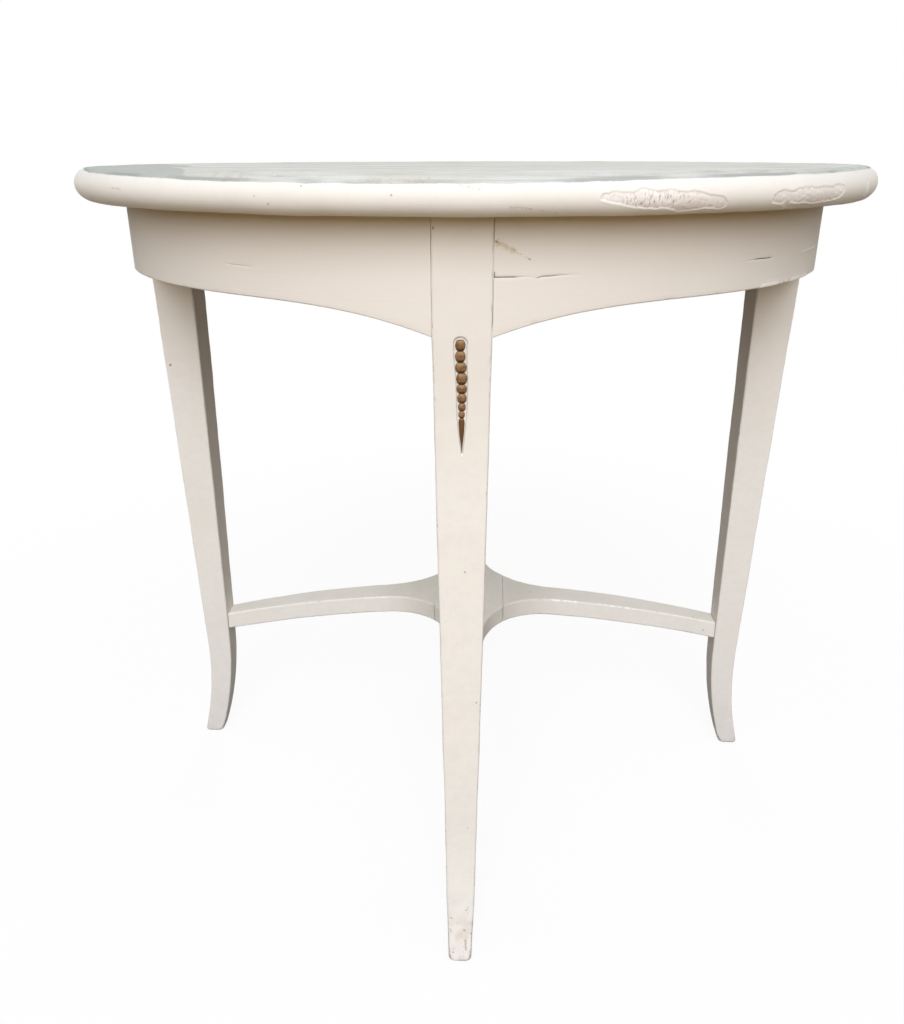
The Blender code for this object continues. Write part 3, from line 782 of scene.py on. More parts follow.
def worn_coat(place, grain):
    """Painted wood with a painted shade that darkens it towards the top, arrises rubbed chalky and bare in
    the nicks.
    """
    shade, roughness, height = paint_coat(place, grain)
    edge = place.field("edge")
    rubbed = (edge * place.noise(55.0, 3.0, 0.6)).rise(0.30, 0.62)
    nicked = (edge * place.noise(260.0, 2.0)).rise(0.58, 0.68)
    # Painted shade: the coat turns darker between 0.42 and 0.54 m, towards the top.
    shaded = place.parts()[2].rise(0.42, 0.54)
    shade = coated(shade, (shaded * 0.9, SHADED_CREAM), (rubbed * 0.7, CHALK), (nicked * 0.45, BARE))
    return shade, roughness + rubbed * 0.12, height - nicked * 1.5


print("dulled paint", SHADED_CREAM[:3], "dust", DUST[:3])

# %% Finish of the apron
OCHRE = colour(0.560, 0.440, 0.250)
SCUFF_START, SCUFF_MIDDLE, SCUFF_END = (
    (0.0213, -0.3118, 0.6116), (0.0340, -0.3106, 0.6052), (0.0445, -0.3092, 0.5998))
SMEAR = (SCUFF_START, SCUFF_MIDDLE, 0.0026)
SCUFFS = ((SCUFF_START, SCUFF_MIDDLE, 0.0010), (SCUFF_MIDDLE, SCUFF_END, 0.0007))
SCUFF_DOTS = ((SCUFF_START, 0.0011),)
SEAM_TICK = ((0.0203, -0.3118, 0.5930), (0.0203, -0.3118, 0.5905), 0.0008)


def apron_finish():
    """Worn paint outside, open glue line, and bare pine on the inner face."""
    material, place, grain = new_finish("apron_paint")
    shade, roughness, height = worn_coat(place, grain)
    wood, wood_rough, wood_height = pine_wood(grain)
    rough_place = shaken(place, 0.0015)
    scuff = strokes(rough_place, SCUFFS) * (place.noise(480.0, 3.0).rise(0.42, 0.60) * 0.75)
    spots = dots(rough_place, SCUFF_DOTS).most(stroke(place, *SEAM_TICK))
    crack = place.field("crack")
    bare = (place.field("inner") + (place.noise(120.0, 3.0) - 0.5) * 0.5).rise(0.45, 0.55)
    # Where a crack pushes the paint up into a ridge it is painted white, a painted highlight.
    shade = coated(
        shade, (stroke(shaken(place, 0.006), *SMEAR) * 0.45, OCHRE), (scuff.most(spots * 0.8), DIRT),
        (crack.rise(0.10, 0.75), CRACK_SHADE), (crack.rise(-0.05, -0.25), FRESH),
        (place.field("chip").rise(0.1, 0.6), FRESH), (bare, wood))
    roughness = between(bare, roughness, wood_rough)
    height = between(bare, height - crack, wood_height)
    return close_finish(material, shade, roughness, height, PAINT_RELIEF, Specular_IOR_Level=PAINT_GLOSS)


apron_paint = apron_finish()

# %% [markdown]
# ## The apron
# Each quarter of the apron was sawn out of plank in two layers and glued, so its glue line
# runs level round the table. Damp has opened it in places, and the paint has cracked there.
# A straight box could be bent with a modifier, but the ends have to stay parallel to the
# legs. So the section is carried round the quarter, and a point at radius r goes through the
# angle that r itself has left between the two legs.

# %% Sizes of the frame, read from the solids
upper_box, lower_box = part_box("apron_front_right_upper"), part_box("apron_front_right_lower")
FRAME_TOP, GLUE_LINE = upper_box[1].z, (upper_box[0].z + lower_box[1].z) / 2
APRON_BOTTOM = lower_box[0].z
SEAT_GAP = UNDERSIDE - FRAME_TOP
OVERHANG, APRON_THICKNESS = 0.0375, 0.022
APRON_RADIUS = TOP_RADIUS - OVERHANG
ARCH_RISE, ARCH_POWER = 0.0208, 5
LEG_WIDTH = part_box("leg_front")[1].x * 2
LEG_SIDE = LEG_WIDTH / 2 + SEAT_GAP
PLACES = ("front", "right", "back", "left")
QUARTERS = ("front_right", "back_right", "back_left", "front_left")
print("apron", round(APRON_BOTTOM, 4), "to", round(FRAME_TOP, 4), "legs", round(LEG_WIDTH, 4), "wide")

# %% The apron's marks
APRON_EASE = 0.0013
APRON_ROWS, APRON_COLUMNS = 241, 7
CRACK_STEPS = np.array((-0.0014, -0.00035, 0.0, 0.00035, 0.0014))
CRACK_DEPTH, CRACK_HALF_WIDTH = 0.0012, 0.00028
# Cracks beside the glue line, as azimuths in degrees, how far they gape there (less than 0 where
# the paint is pushed up into a ridge), and how far they have strayed from the line, in metres.
CRACK_AZIMUTHS = (
    -140, -139, -134, -133, -32, -31, -28, -27,
    3.2, 3.6, 6.2, 6.5, 7.8, 8.3, 8.6, 8.8, 9.3, 10.2, 11.5, 14,
    38.5, 40.5, 42, 44.6, 45.2, 54, 56, 62, 64, 118, 119, 125, 126)
CRACK_GAPES = (
    0, 0.6, 0.5, 0, 0, 0.3, 0.25, 0,
    0, 1.0, 0.7, 0.3, 0.15, 0, 0, 0.5, 0.6, 0.6, 0.4, 0,
    0, 0.35, 0.9, 0.9, 0, 0, -0.4, -0.5, 0, 0, 0.5, 0.4, 0)
CRACK_STRAYS = np.array((
    0, 0.4, 1.2, 1.0, 1.2, 1.2, 0.8, 0.8,
    -1.0, -1.0, -1.1, -1.1, -1.0, -1.2, -2.2, -2.1, -1.0, -0.8, -0.4, -0.2,
    1.4, 1.7, 1.95, 1.6, 1.5, 1.2, 1.3, 1.4, 1.4, 0.2, -0.4, -0.9, -0.8)) / 1000
# The chipped stretch of the lower edge in degrees, and each kind of damage: depth and patches,
# which are given by the waves' length, their seed, and where they start and are full.
CHIPPED, CHIP_REACH = (42.5, 60.0), (0.0040, 0.0010)
CHIP_DEPTH, CHIP_PATCHES = 0.0006, (0.009, 22, -0.9, 0.0)
APRON_NICK_DEPTH, APRON_NICKS = 0.0003, (0.011, 23, 0.5, 1.2)
APRON_SWELL = (0.00022, 0.075, 24)


def arch(across):
    """Lower edge at a distance from the quarter's middle: rise (1 - share^5), share 1 at a leg."""
    end = APRON_RADIUS * np.sin(np.pi / 4 - np.arcsin(LEG_SIDE / APRON_RADIUS))
    return APRON_BOTTOM + ARCH_RISE * (1 - np.clip(np.abs(across) / end, 0, 1) ** ARCH_POWER)


print("arch", round(arch(0) - APRON_BOTTOM, 4), "high, cracks given at", len(CRACK_AZIMUTHS), "places")

# %% Shape the apron
def apron_section():
    """An eased section with columns set close together at the glue line of the outer face."""
    side = stops(APRON_COLUMNS)
    outer = np.concatenate([side[:-1], np.zeros(len(CRACK_STEPS)), side[1:]])
    return eased_section([outer, stops(3), stops(5), stops(5)]), len(outer)


def make_apron(number, quarter):
    """One quarter: r = middle + across, angle = row (45 degrees - asin(leg side / r))."""
    (side_x, side_y, round_x, round_y), outer = apron_section()
    half = APRON_THICKNESS / 2
    radius = APRON_RADIUS - half + side_x * (half - APRON_EASE) + round_x * APRON_EASE
    rows = np.linspace(-1, 1, APRON_ROWS)[:, None]
    angle = rows * (np.pi / 4 - np.arcsin(LEG_SIDE / radius))
    low = arch(radius * np.sin(angle))
    middle, tall = (FRAME_TOP + low) / 2, (FRAME_TOP - low) / 2
    height = middle + side_y * (tall - APRON_EASE) + round_y * APRON_EASE
    azimuth = angle + (number + 0.5) * np.pi / 2
    degrees = np.degrees(np.arctan2(np.sin(azimuth), np.cos(azimuth)))
    line = GLUE_LINE + np.interp(degrees[:, :1], CRACK_AZIMUTHS, CRACK_STRAYS)
    below, above = APRON_COLUMNS + 1, outer - APRON_COLUMNS - 1
    span = np.linspace(0, 1, below)
    face_low, face_high = low[:, :1] + APRON_EASE, FRAME_TOP - APRON_EASE
    line_low, line_high = line + CRACK_STEPS[0] * 2, line + CRACK_STEPS[-1] * 2
    height[:, :below] = face_low + span * (line_low - face_low)
    height[:, below:above] = line + CRACK_STEPS
    height[:, above:outer] = line_high + span * (face_high - line_high)

    spots = stacked(radius * np.sin(azimuth), -radius * np.cos(azimuth), height)
    on_face = np.arange(len(side_x)) < outer
    crack = np.interp(degrees, CRACK_AZIMUTHS, CRACK_GAPES, 0, 0) * (
        hump(height - line, CRACK_HALF_WIDTH) * on_face)
    edge = arris(round_x, round_y, crack.shape)
    low_edge = np.maximum(
        edge * (round_x > 0) * (round_y < 0), on_face * smooth(*CHIP_REACH, height - low))
    chipped = smooth(CHIPPED[0], CHIPPED[0] + 1, degrees) * smooth(CHIPPED[1], CHIPPED[1] - 1, degrees)
    chip = low_edge * chipped * patches(spots, *CHIP_PATCHES)
    sink = CRACK_DEPTH * crack - CHIP_DEPTH * chip + APRON_NICK_DEPTH * edge * patches(spots, *APRON_NICKS)
    sink = sink + uneven(spots, APRON_SWELL) * (side_x * round_x > 0.5)
    radius = radius - sink * np.sign(round_x)
    rings = stacked(radius * np.sin(azimuth), -radius * np.cos(azimuth), height)
    fields = {
        "grain": stacked(azimuth * APRON_RADIUS, height, radius), "edge": edge, "crack": crack, "chip": chip,
        "inner": np.broadcast_to((round_x < -0.9) * 1.0, crack.shape)}
    nodes = [f"apron_{quarter}_upper", f"apron_{quarter}_lower"]
    loft(f"apron_{quarter}", rings, apron_paint, nodes, fields)


for number, quarter in enumerate(QUARTERS):
    make_apron(number, quarter)

# %% [markdown]
# ## The legs' finish
# A leg has the same paint, with dirt and brown specks at the foot, where it has stood on wet
# floors and been knocked by shoes. The specks are noise that fades out with height.

# %% Finish of the legs
FOOT_STAIN = colour(0.560, 0.430, 0.300)
LEG_DOTS = (
    ((-0.3075, -0.0185, 0.4632), 0.0021), ((0.0121, -0.3104, 0.2651), 0.0010),
    ((0.0026, -0.3118, 0.3807), 0.0010), ((0.0060, -0.3087, 0.1369), 0.0010),
    ((-0.0182, -0.3140, 0.6200), 0.0012))
HALO = (((-0.3075, -0.0185, 0.4632), 0.0050),)
FOOT_MARKS = (
    ((0.0046, -0.3216, 0.0205), (0.0051, -0.3238, 0.0117), 0.0015),
    ((0.0105, -0.3180, 0.0380), (0.0108, -0.3235, 0.0130), 0.0014),
    ((0.0066, -0.3148, 0.0524), (0.0062, -0.3146, 0.0530), 0.0009),
    ((0.0040, -0.3150, 0.0500), (0.0062, -0.3150, 0.0500), 0.0008),
    ((-0.0082, -0.3168, 0.0418), (-0.0078, -0.3168, 0.0418), 0.0011),
    ((-0.0088, -0.3193, 0.0310), (-0.0078, -0.3198, 0.0285), 0.0010),
    ((0.0034, -0.3193, 0.0305), (0.0042, -0.3193, 0.0300), 0.0013))


def leg_finish():
    """Worn paint with a painted shadow along the groove's outline, and feet that are stained most at the
    front.
    """
    material, place, grain = new_finish("leg_paint")
    shade, roughness, height = worn_coat(place, grain)
    along_y, level = place.parts()[1:]
    foot = level.rise(0.085, 0.004) * (0.35 + along_y.rise(-0.10, -0.25) * 0.65)
    stain = foot * place.noise(70.0, 3.0).rise(0.42, 0.72)
    specks = foot * place.noise(420.0, 3.0).rise(0.63, 0.70) * place.noise(60.0, 1.0).rise(0.42, 0.58)
    kicked = (place.field("edge") * foot * place.noise(210.0, 3.0)).rise(0.14, 0.46)
    soled = level.rise(0.0034, 0.0010) * place.noise(150.0, 2.0).rise(0.34, 0.56)
    rough_place = shaken(place, 0.0024)
    # The groove field is a painted shadow along the groove's outline.
    shade = coated(
        shade, (stain * 0.60, FOOT_STAIN), (strokes(rough_place, FOOT_MARKS) * 0.6, BARE),
        (specks * 0.7, DIRT), (kicked * 0.55, BARE), (soled * 0.65, DIRT), (dots(place, HALO) * 0.5, CHALK),
        (dots(rough_place, LEG_DOTS) * 0.75, DIRT), (place.field("groove") * 0.45, CRACK_SHADE))
    return close_finish(
        material, shade, roughness + stain * 0.15, height - specks, PAINT_RELIEF,
        Specular_IOR_Level=PAINT_GLOSS)


leg_paint = leg_finish()

# %% [markdown]
# ## The legs
# A leg is a square block beside the apron. Below it tapers, leans in a little and kicks out
# at the foot. A groove with a round top holds the bead drop. Cutting the groove with a
# Boolean would leave long thin faces, so the columns of the outer face draw in with the groove
# instead, and each point sinks by how far it lies inside the groove's outline.

# %% The leg's outline
LEG_DEPTH, LEG_PROUD = 0.039, 0.0015
FOOT_WIDTH, FOOT_DEPTH, FOOT_KICK, KICK_HEIGHT = 0.0212, 0.021, 0.020, 0.130
LEG_LEAN, TAPER_POWER = 0.007, 0.85
LEG_FACE = APRON_RADIUS + LEG_PROUD


def leg_taper(height):
    """Share of the way from the foot's size to the block's size."""
    return np.clip(height / APRON_BOTTOM, 0, 1) ** TAPER_POWER


def leg_outer(height):
    """Radius of the outer face: the lean, then the foot's outward kick as a square."""
    lean = LEG_LEAN * np.clip(1 - height / APRON_BOTTOM, 0, 1)
    return LEG_FACE - lean + FOOT_KICK * np.clip(1 - height / KICK_HEIGHT, 0, 1) ** 2


def leg_width(height):
    """Size along the apron, from the foot's width to the block's."""
    return FOOT_WIDTH + (LEG_WIDTH - FOOT_WIDTH) * leg_taper(height)


def leg_depth(height):
    """Size towards the table's axis, from the foot's depth to the block's."""
    return FOOT_DEPTH + (LEG_DEPTH - FOOT_DEPTH) * leg_taper(height)


print("a leg's face at its foot", round(leg_outer(0), 4), "at its block", round(leg_outer(APRON_BOTTOM), 4))

# %% The leg's groove
BEADS_BELOW, GROOVE_MARGIN, GROOVE_DEPTH = 0.0006, 0.0021, 0.0012
BEADS_TOP = APRON_BOTTOM - BEADS_BELOW
GROOVE_TOP = BEADS_TOP + GROOVE_MARGIN
FIRST_BEAD, LAST_BEAD, BEADS_LENGTH, POINT_LENGTH = 0.0072, 0.0046, 0.0532, 0.0253
GROOVE_SPARE, GROOVE_SHIFT = 0.0012, -0.0010
GROOVE_ROUND = FIRST_BEAD / 2 + GROOVE_SPARE
GROOVE_SHOULDER = LAST_BEAD / 2 + GROOVE_SPARE
GROOVE_LENGTH = GROOVE_MARGIN + BEADS_LENGTH + POINT_LENGTH + GROOVE_SPARE


def groove_half(drop):
    """Half width of the groove under its round top: a taper along the beads, then to a tip."""
    stops_at = (0, GROOVE_MARGIN + BEADS_LENGTH, GROOVE_LENGTH)
    return np.interp(drop, stops_at, (GROOVE_ROUND, GROOVE_SHOULDER, GROOVE_SPARE / 2))


def groove_gap(across, drop):
    """Distance outside the groove's outline; its top is a half circle."""
    straight = np.abs(across) - groove_half(drop)
    top = np.hypot(across, np.minimum(drop - GROOVE_ROUND, 0)) - GROOVE_ROUND
    return np.maximum(np.where(drop < GROOVE_ROUND, top, straight), drop - GROOVE_LENGTH)


print("groove", round(GROOVE_LENGTH, 4), "long and", round(GROOVE_ROUND * 2, 4), "wide")

# %% Columns of the leg
GROOVE_COLUMNS = np.array((0, 0.25, 0.5, 0.7, 0.84, 0.94, 1.0, 1.06, 1.16, 1.35, 1.7))
OUTER_COLUMNS, OUTER_SPAN = (2.4, 3.2), 2.1


def placed(across, out, height, turns):
    """Points across a radius, out along it and up, with the radius so many quarter turns round."""
    cos, sin = np.cos(turns * np.pi / 2), np.sin(turns * np.pi / 2)
    return stacked(across * cos + out * sin, across * sin - out * cos, height)


def leg_section():
    """An eased section whose first side is the outer face, with columns for the groove."""
    right = np.concatenate([GROOVE_COLUMNS, OUTER_COLUMNS])
    places = np.concatenate([-right[:0:-1], right])
    outer = np.concatenate([[-1.0], np.zeros(len(places)), [1.0]])
    return eased_section([outer, stops(5), stops(3), stops(5)]), places


print(len(leg_section()[1]), "columns on a leg's outer face")

# %% Shape the legs
LEG_EASE, SOLE_EASE, TOE_ROUND, TOE_HEIGHT = 0.0017, 0.0026, 0.0030, 0.012
TOE_WEAR, TOE_WORN_FROM = 0.0006, 0.060
GROOVE_CLEAR, SHIFT_ENDS = 0.002, (0.032, 0.014)
GROOVE_EDGE, GROOVE_LINE_AT, GROOVE_LINE = (0.00025, -0.0007), -0.0001, 0.0003
LEG_STEPS = (SOLE_EASE / 5, 0.0045, 0.006, 0.00055, 0.006)
LEG_NICK_DEPTH, LEG_NICKS = 0.0004, (0.014, 32, 0.55, 1.25)
LEG_SWELLS, GROOVE_RAGGED = ((0.00020, 0.09, 33), (0.00012, 0.02, 34)), (0.00012, 0.006, 31)


def make_leg(number, place):
    """One leg: out = middle + side (depth / 2 - ease) + round ease, and the same across."""
    (side_x, side_y, round_x, round_y), places = leg_section()
    groove_ends = GROOVE_TOP - GROOVE_LENGTH - GROOVE_CLEAR, GROOVE_TOP + GROOVE_CLEAR
    height = stations((0, SOLE_EASE, KICK_HEIGHT, *groove_ends, FRAME_TOP), LEG_STEPS)[:, None]
    short = np.clip(SOLE_EASE - height, 0, None)
    sole = SOLE_EASE - np.sqrt(SOLE_EASE ** 2 - short ** 2)
    ease = LEG_EASE + TOE_ROUND * smooth(TOE_HEIGHT, 0, height)
    deep = leg_depth(height) / 2 - sole
    wide = leg_width(height) / 2 - sole - TOE_WEAR * smooth(TOE_WORN_FROM, 0, height)
    out = leg_outer(height) - leg_depth(height) / 2 + side_x * (deep - ease) + round_x * ease
    across = side_y * (wide - ease) + round_y * ease
    drop = GROOVE_TOP - height
    spread = np.maximum(groove_half(drop), GROOVE_SPARE)
    shift = GROOVE_SHIFT * smooth(*SHIFT_ENDS, drop)
    share = np.clip((np.abs(places) - GROOVE_COLUMNS[-1]) / OUTER_SPAN, 0, 1)
    inside = np.minimum(np.abs(places), GROOVE_COLUMNS[-1]) * spread
    outside = share * (wide - ease - GROOVE_COLUMNS[-1] * spread)
    across[:, 1:len(places) + 1] = np.sign(places) * (inside + outside) + shift * (1 - share)

    spots = placed(across, out, height, number)
    edge = arris(round_x, round_y, across.shape)
    on_face = np.arange(len(side_x)) < len(places) + 2
    gap = groove_gap(across - shift, drop) + uneven(spots, GROOVE_RAGGED)
    groove = smooth(*GROOVE_EDGE, gap) * on_face
    round_end = smooth(GROOVE_ROUND, GROOVE_ROUND / 2, drop)
    # Painted shadow along the groove's outline, strongest under its round top.
    outline = hump(gap - GROOVE_LINE_AT, GROOVE_LINE) * on_face * (0.1 + 0.9 * round_end)
    worn = LEG_NICK_DEPTH * edge * patches(spots, *LEG_NICKS) + uneven(spots, *LEG_SWELLS)
    out = out - round_x * worn - GROOVE_DEPTH * groove
    across = across - round_y * worn
    fields = {"grain": stacked(height, across, out), "edge": edge, "groove": outline}
    rings = placed(across, out, height, number)
    loft(f"leg_{place}_painted", rings, leg_paint, [f"leg_{place}"], fields)


for number, place in enumerate(PLACES):
    make_leg(number, place)

# %% [markdown]
# ## Bead drops
# The drop is turned as a row of beads on a lathe, sawn in half and let into the groove. Its
# bronze paint is worn to a lighter tan on the crowns. Faces that look up get a painted highlight,
# and a painted shade goes nearly black in the creases and under each bead. A row of equal spheres
# would look like a necklace. The real beads are barrels turned by eye, no two alike and the first
# ones off the middle, so their sizes are listed one by one. Each is a superellipse, and the mesh
# carries how much painted shade each point gets.

# %% Finish of the bead drops
BRONZE = colour(0.150, 0.070, 0.023)
CROWN = colour(0.290, 0.166, 0.078)
LIT_TAN = colour(0.400, 0.275, 0.160)
CREASE_SHADE = colour(0.060, 0.032, 0.013)


def bronze_finish():
    """Bronze paint, lighter on the worn crowns, with a painted highlight on faces that look up and a painted
    shade in the creases and under each bead.
    """
    material, place, _ = new_finish("bronze_drop_paint")
    bead_shade, patchy = place.field("bead_shade"), place.noise(420.0, 3.0, 0.6)
    # Painted light: faces that look up get a lighter tan, a painted highlight, and the creases and the
    # undersides of the beads go nearly black, a painted shade.
    shade = coated(
        BRONZE, ((1 - bead_shade).rise(0.55, 1.0) * patchy.rise(0.35, 0.65) * 0.8, CROWN),
        (place.looking_up().rise(0.05, 0.75) * 0.6, LIT_TAN), (bead_shade.rise(0.20, 1.0), CREASE_SHADE))
    return close_finish(
        material, shade, 0.42 + patchy * 0.25, patchy, 0.00012, Metallic=0.15, Specular_IOR_Level=0.25)


bronze = bronze_finish()

# %% Profile of the bead drops
BEAD_WIDTHS = np.array((6.8, 6.9, 7.6, 7.4, 7.0, 6.3, 5.2, 4.4)) / 1000
BEAD_LENGTHS = np.array((11.1, 11.2, 10.7, 11.6, 9.3, 10.0, 8.4, 7.5))
BEAD_LENGTHS *= BEADS_LENGTH / BEAD_LENGTHS.sum()
BEAD_SHIFTS = np.array((-1.1, -1.1, -0.7, -0.1, -0.1, 0.0, 0.0, -0.2)) / 1000
POINT_SHARES = (0.0, 0.04, 0.12, 0.35, 0.55, 0.75, 1.0)
POINT_HALVES = np.array((1.2, 1.9, 2.05, 1.75, 1.25, 0.6, 0.1)) / 1000
BEAD_ROWS, POINT_ROWS = 20, 40
BEAD_POWER, CREASE_WIDTH, BEAD_SHARE = 2.0, 0.38, 0.985


def bead_profile():
    """Drop, half width, shift and painted shade of each ring: superellipse barrels, then a point."""
    turn = np.cos(np.linspace(np.pi, 0, BEAD_ROWS))[None]
    barrel = (1 - np.abs(turn) ** BEAD_POWER) ** (1 / BEAD_POWER)
    starts = np.concatenate([[0], np.cumsum(BEAD_LENGTHS)[:-1]])[:, None]
    drop = starts + BEAD_LENGTHS[:, None] * (turn + 1) / 2 * BEAD_SHARE
    half = BEAD_WIDTHS[:, None] / 2 * (CREASE_WIDTH + (1 - CREASE_WIDTH) * barrel)
    half[0, 0] = BEAD_WIDTHS[0] / 6
    share = np.linspace(0.02, 1, POINT_ROWS)
    point = np.interp(share, POINT_SHARES, POINT_HALVES)
    drop = np.concatenate([drop.ravel(), BEADS_LENGTH + share * POINT_LENGTH])
    half = np.concatenate([half.ravel(), point])
    shift = np.concatenate([np.repeat(BEAD_SHIFTS, BEAD_ROWS), BEAD_SHIFTS[-1] * (1 - share)])
    # Painted shade: darkest under each bead, and thin over its top.
    under = np.maximum(smooth(0.2, 1.0, turn), smooth(-0.85, -1.0, turn))
    shade_under = np.concatenate([np.tile(under[0], len(BEAD_WIDTHS)), 0.45 + share * 0.2])
    return drop, half, shift, shade_under


print(len(BEAD_WIDTHS), "beads,", len(bead_profile()[0]), "rings")

# %% Shape the bead drops
BEAD_COLUMNS, BACK_COLUMNS = 23, 5
SUNK, FLATTEST, CROWN_POWER = 0.0011, 0.55, 0.85
LEG_TILT = np.arctan2(LEG_LEAN, APRON_BOTTOM)


def make_bead_drop(number, place):
    """Half-turned rings on a flat back: across = shift + half cos, out = crown sin."""
    drop, half, shift, shade_under = (values[:, None] for values in bead_profile())
    front = np.linspace(0, np.pi, BEAD_COLUMNS)
    back = np.linspace(-1, 1, BACK_COLUMNS + 2)[1:-1]
    across = shift + np.concatenate([np.cos(front), back]) * half
    swell = np.concatenate([np.abs(np.sin(front)) ** CROWN_POWER, 0 * back])
    crown = np.maximum(half - SUNK, half * FLATTEST)
    level = BEADS_TOP - drop * np.cos(LEG_TILT) + 0 * across
    face = leg_outer(level) + SEAT_GAP - GROOVE_DEPTH
    rings = placed(across, face + swell * crown, level, number)
    # Painted shade also where the half bead turns back towards the groove.
    fields = {"bead_shade": np.maximum(shade_under + 0 * across, 0.8 * smooth(0.5, 0.05, swell))}
    loft(f"bead_drop_{place}_turned", rings, bronze, [f"bead_drop_{place}"], fields)


for number, place in enumerate(PLACES):
    make_bead_drop(number, place)

# %% [markdown]
# ## The stretcher's finish
# The cross stretcher lies where feet rest and dust settles: its upper face is greyer than its
# sides, most of all near the middle. Dust could be a second layer of mesh. Here the way the
# surface faces gives the mask, since dust only lies on what looks up.

# %% Finish of the stretcher
STRETCHER_DOTS = (
    ((0.0697, -0.0015, 0.1985), 0.0013), ((0.2561, -0.0084, 0.1736), 0.0012),
    ((0.2684, -0.0115, 0.1586), 0.0013))
STRETCHER_CHIPS = (
    ((0.0940, -0.0155, 0.1967), (0.1210, -0.0145, 0.1945), 0.0024),
    ((0.1371, -0.0147, 0.1929), (0.1900, -0.0140, 0.1853), 0.0018),
    ((-0.1200, -0.0150, 0.1947), (-0.0900, -0.0155, 0.1970), 0.0018))
YELLOW_PATCH = (((-0.0373, -0.0395, 0.1916), 0.0080),)


def stretcher_finish():
    """Worn paint with dust on the faces that look up, thicker towards the hub."""
    material, place, grain = new_finish("stretcher_paint")
    shade, roughness, height = worn_coat(place, grain)
    drifts, near_hub = place.noise(45.0, 4.0, 0.65).rise(0.35, 0.7), place.from_axis().rise(0.17, 0.04)
    dust = place.looking_up().rise(0.45, 0.95) * (0.25 + drifts * 0.45 + near_hub * 0.25)
    rough_place = shaken(place, 0.0015)
    chips = strokes(rough_place, STRETCHER_CHIPS) * place.noise(240.0, 3.0).rise(0.42, 0.55)
    shade = coated(
        shade, (dust, DUST), (dots(rough_place, YELLOW_PATCH) * 0.5, YELLOWED), (chips, FRESH),
        (dots(rough_place, STRETCHER_DOTS) * 0.7, DIRT))
    return close_finish(
        material, shade, roughness + dust * 0.25, height, PAINT_RELIEF, Specular_IOR_Level=PAINT_GLOSS)


stretcher_paint = stretcher_finish()

# %% [markdown]
# ## The cross stretcher
# One rail runs from the front leg to the back leg, arched like a low bridge, and an arm is
# dowelled to each side of it. Where they meet, arcs spread the arms into a hub. The plan could
# be drawn as a curve and extruded. Here the width is a function of the distance from the
# table's axis, so that the arch, the flare and the eased arrises are one formula.

# %% The stretcher's outline
rail_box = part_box("stretcher_rail")
STRETCHER_TOP = rail_box[1].z
STRETCHER_RISE, STRETCHER_THICKNESS = 0.0325, 0.020
ARM_AT_LEG, ARM_AT_FLARE, FLARE_RADIUS = 0.0225, 0.031, 0.078
FLARE_START = ARM_AT_FLARE / 2 + FLARE_RADIUS
HUB = rail_box[1].x
STRETCHER_REACH = leg_outer(STRETCHER_TOP - STRETCHER_RISE) - leg_depth(STRETCHER_TOP - STRETCHER_RISE)
MEETING_STEPS = 8


def stretcher_height(distance):
    """Upper face: a parabola that falls by the rise over the reach."""
    return STRETCHER_TOP - STRETCHER_RISE * (distance / STRETCHER_REACH) ** 2


def stretcher_end(below):
    """Distance at which a line below the upper face meets the leg, by repeated substitution."""
    distance = np.full_like(below, STRETCHER_REACH)
    for _ in range(MEETING_STEPS):
        level = stretcher_height(distance) - below
        distance = leg_outer(level) - leg_depth(level) - SEAT_GAP
    return distance


def stretcher_half(distance):
    """Half width: an arc out of the hub, then a straight taper to the leg."""
    run = np.clip(FLARE_START - distance, 0, FLARE_START - HUB)
    share = np.clip((distance - FLARE_START) / (STRETCHER_REACH - FLARE_START), 0, 1)
    flare = ARM_AT_FLARE / 2 + FLARE_RADIUS - np.sqrt(FLARE_RADIUS ** 2 - run ** 2)
    return flare + (ARM_AT_LEG - ARM_AT_FLARE) / 2 * share


print("stretcher reaches", round(float(STRETCHER_REACH), 4), "out, its hub", round(HUB, 4))

# %% Shape the stretcher
STRETCHER_EASE, JOINT_EASE, PAINTED_GAP = 0.0014, 0.0002, 0.00005
RAIL_ROWS, ARM_ROWS = 261, 121
KNOCK_DEPTH, KNOCKS, SMALL_KNOCKS = 0.0007, (0.012, 41, 0.35, 1.2), (0.005, 42, 0.6, 1.2)
STRETCHER_SWELLS = ((0.00022, 0.08, 43), (0.00010, 0.02, 44))


def stretcher_rings(distance, number):
    """Rings across an arm at distances from the axis, negative ones on the far side."""
    side_x, side_y, round_x, round_y = eased_section([stops(5), stops(7), stops(5), stops(5)])
    middle = STRETCHER_THICKNESS * (1 - side_y) / 2
    out = distance * stretcher_end(middle)
    ease = STRETCHER_EASE * smooth(HUB * 0.85, HUB * 1.1, np.abs(out)) + JOINT_EASE
    below = middle - (round_y - side_y) * ease
    half = stretcher_half(np.abs(out))
    across = side_x * (half - ease) + round_x * ease
    height = stretcher_height(np.abs(out)) - below
    spots = placed(across, out, height, number)
    edge = arris(round_x, round_y, across.shape)
    knocks = patches(spots, *KNOCKS) + 0.6 * patches(spots, *SMALL_KNOCKS)
    swell = uneven(spots, *STRETCHER_SWELLS)
    worn = (KNOCK_DEPTH * edge * knocks + swell) * smooth(HUB * 0.95, HUB * 1.3, np.abs(out))
    across = across - round_x * worn
    height = height - round_y * worn
    fields = {"grain": stacked(out, across, height), "edge": edge * (1 + 0.5 * knocks)}
    return placed(across, out, height, number), fields


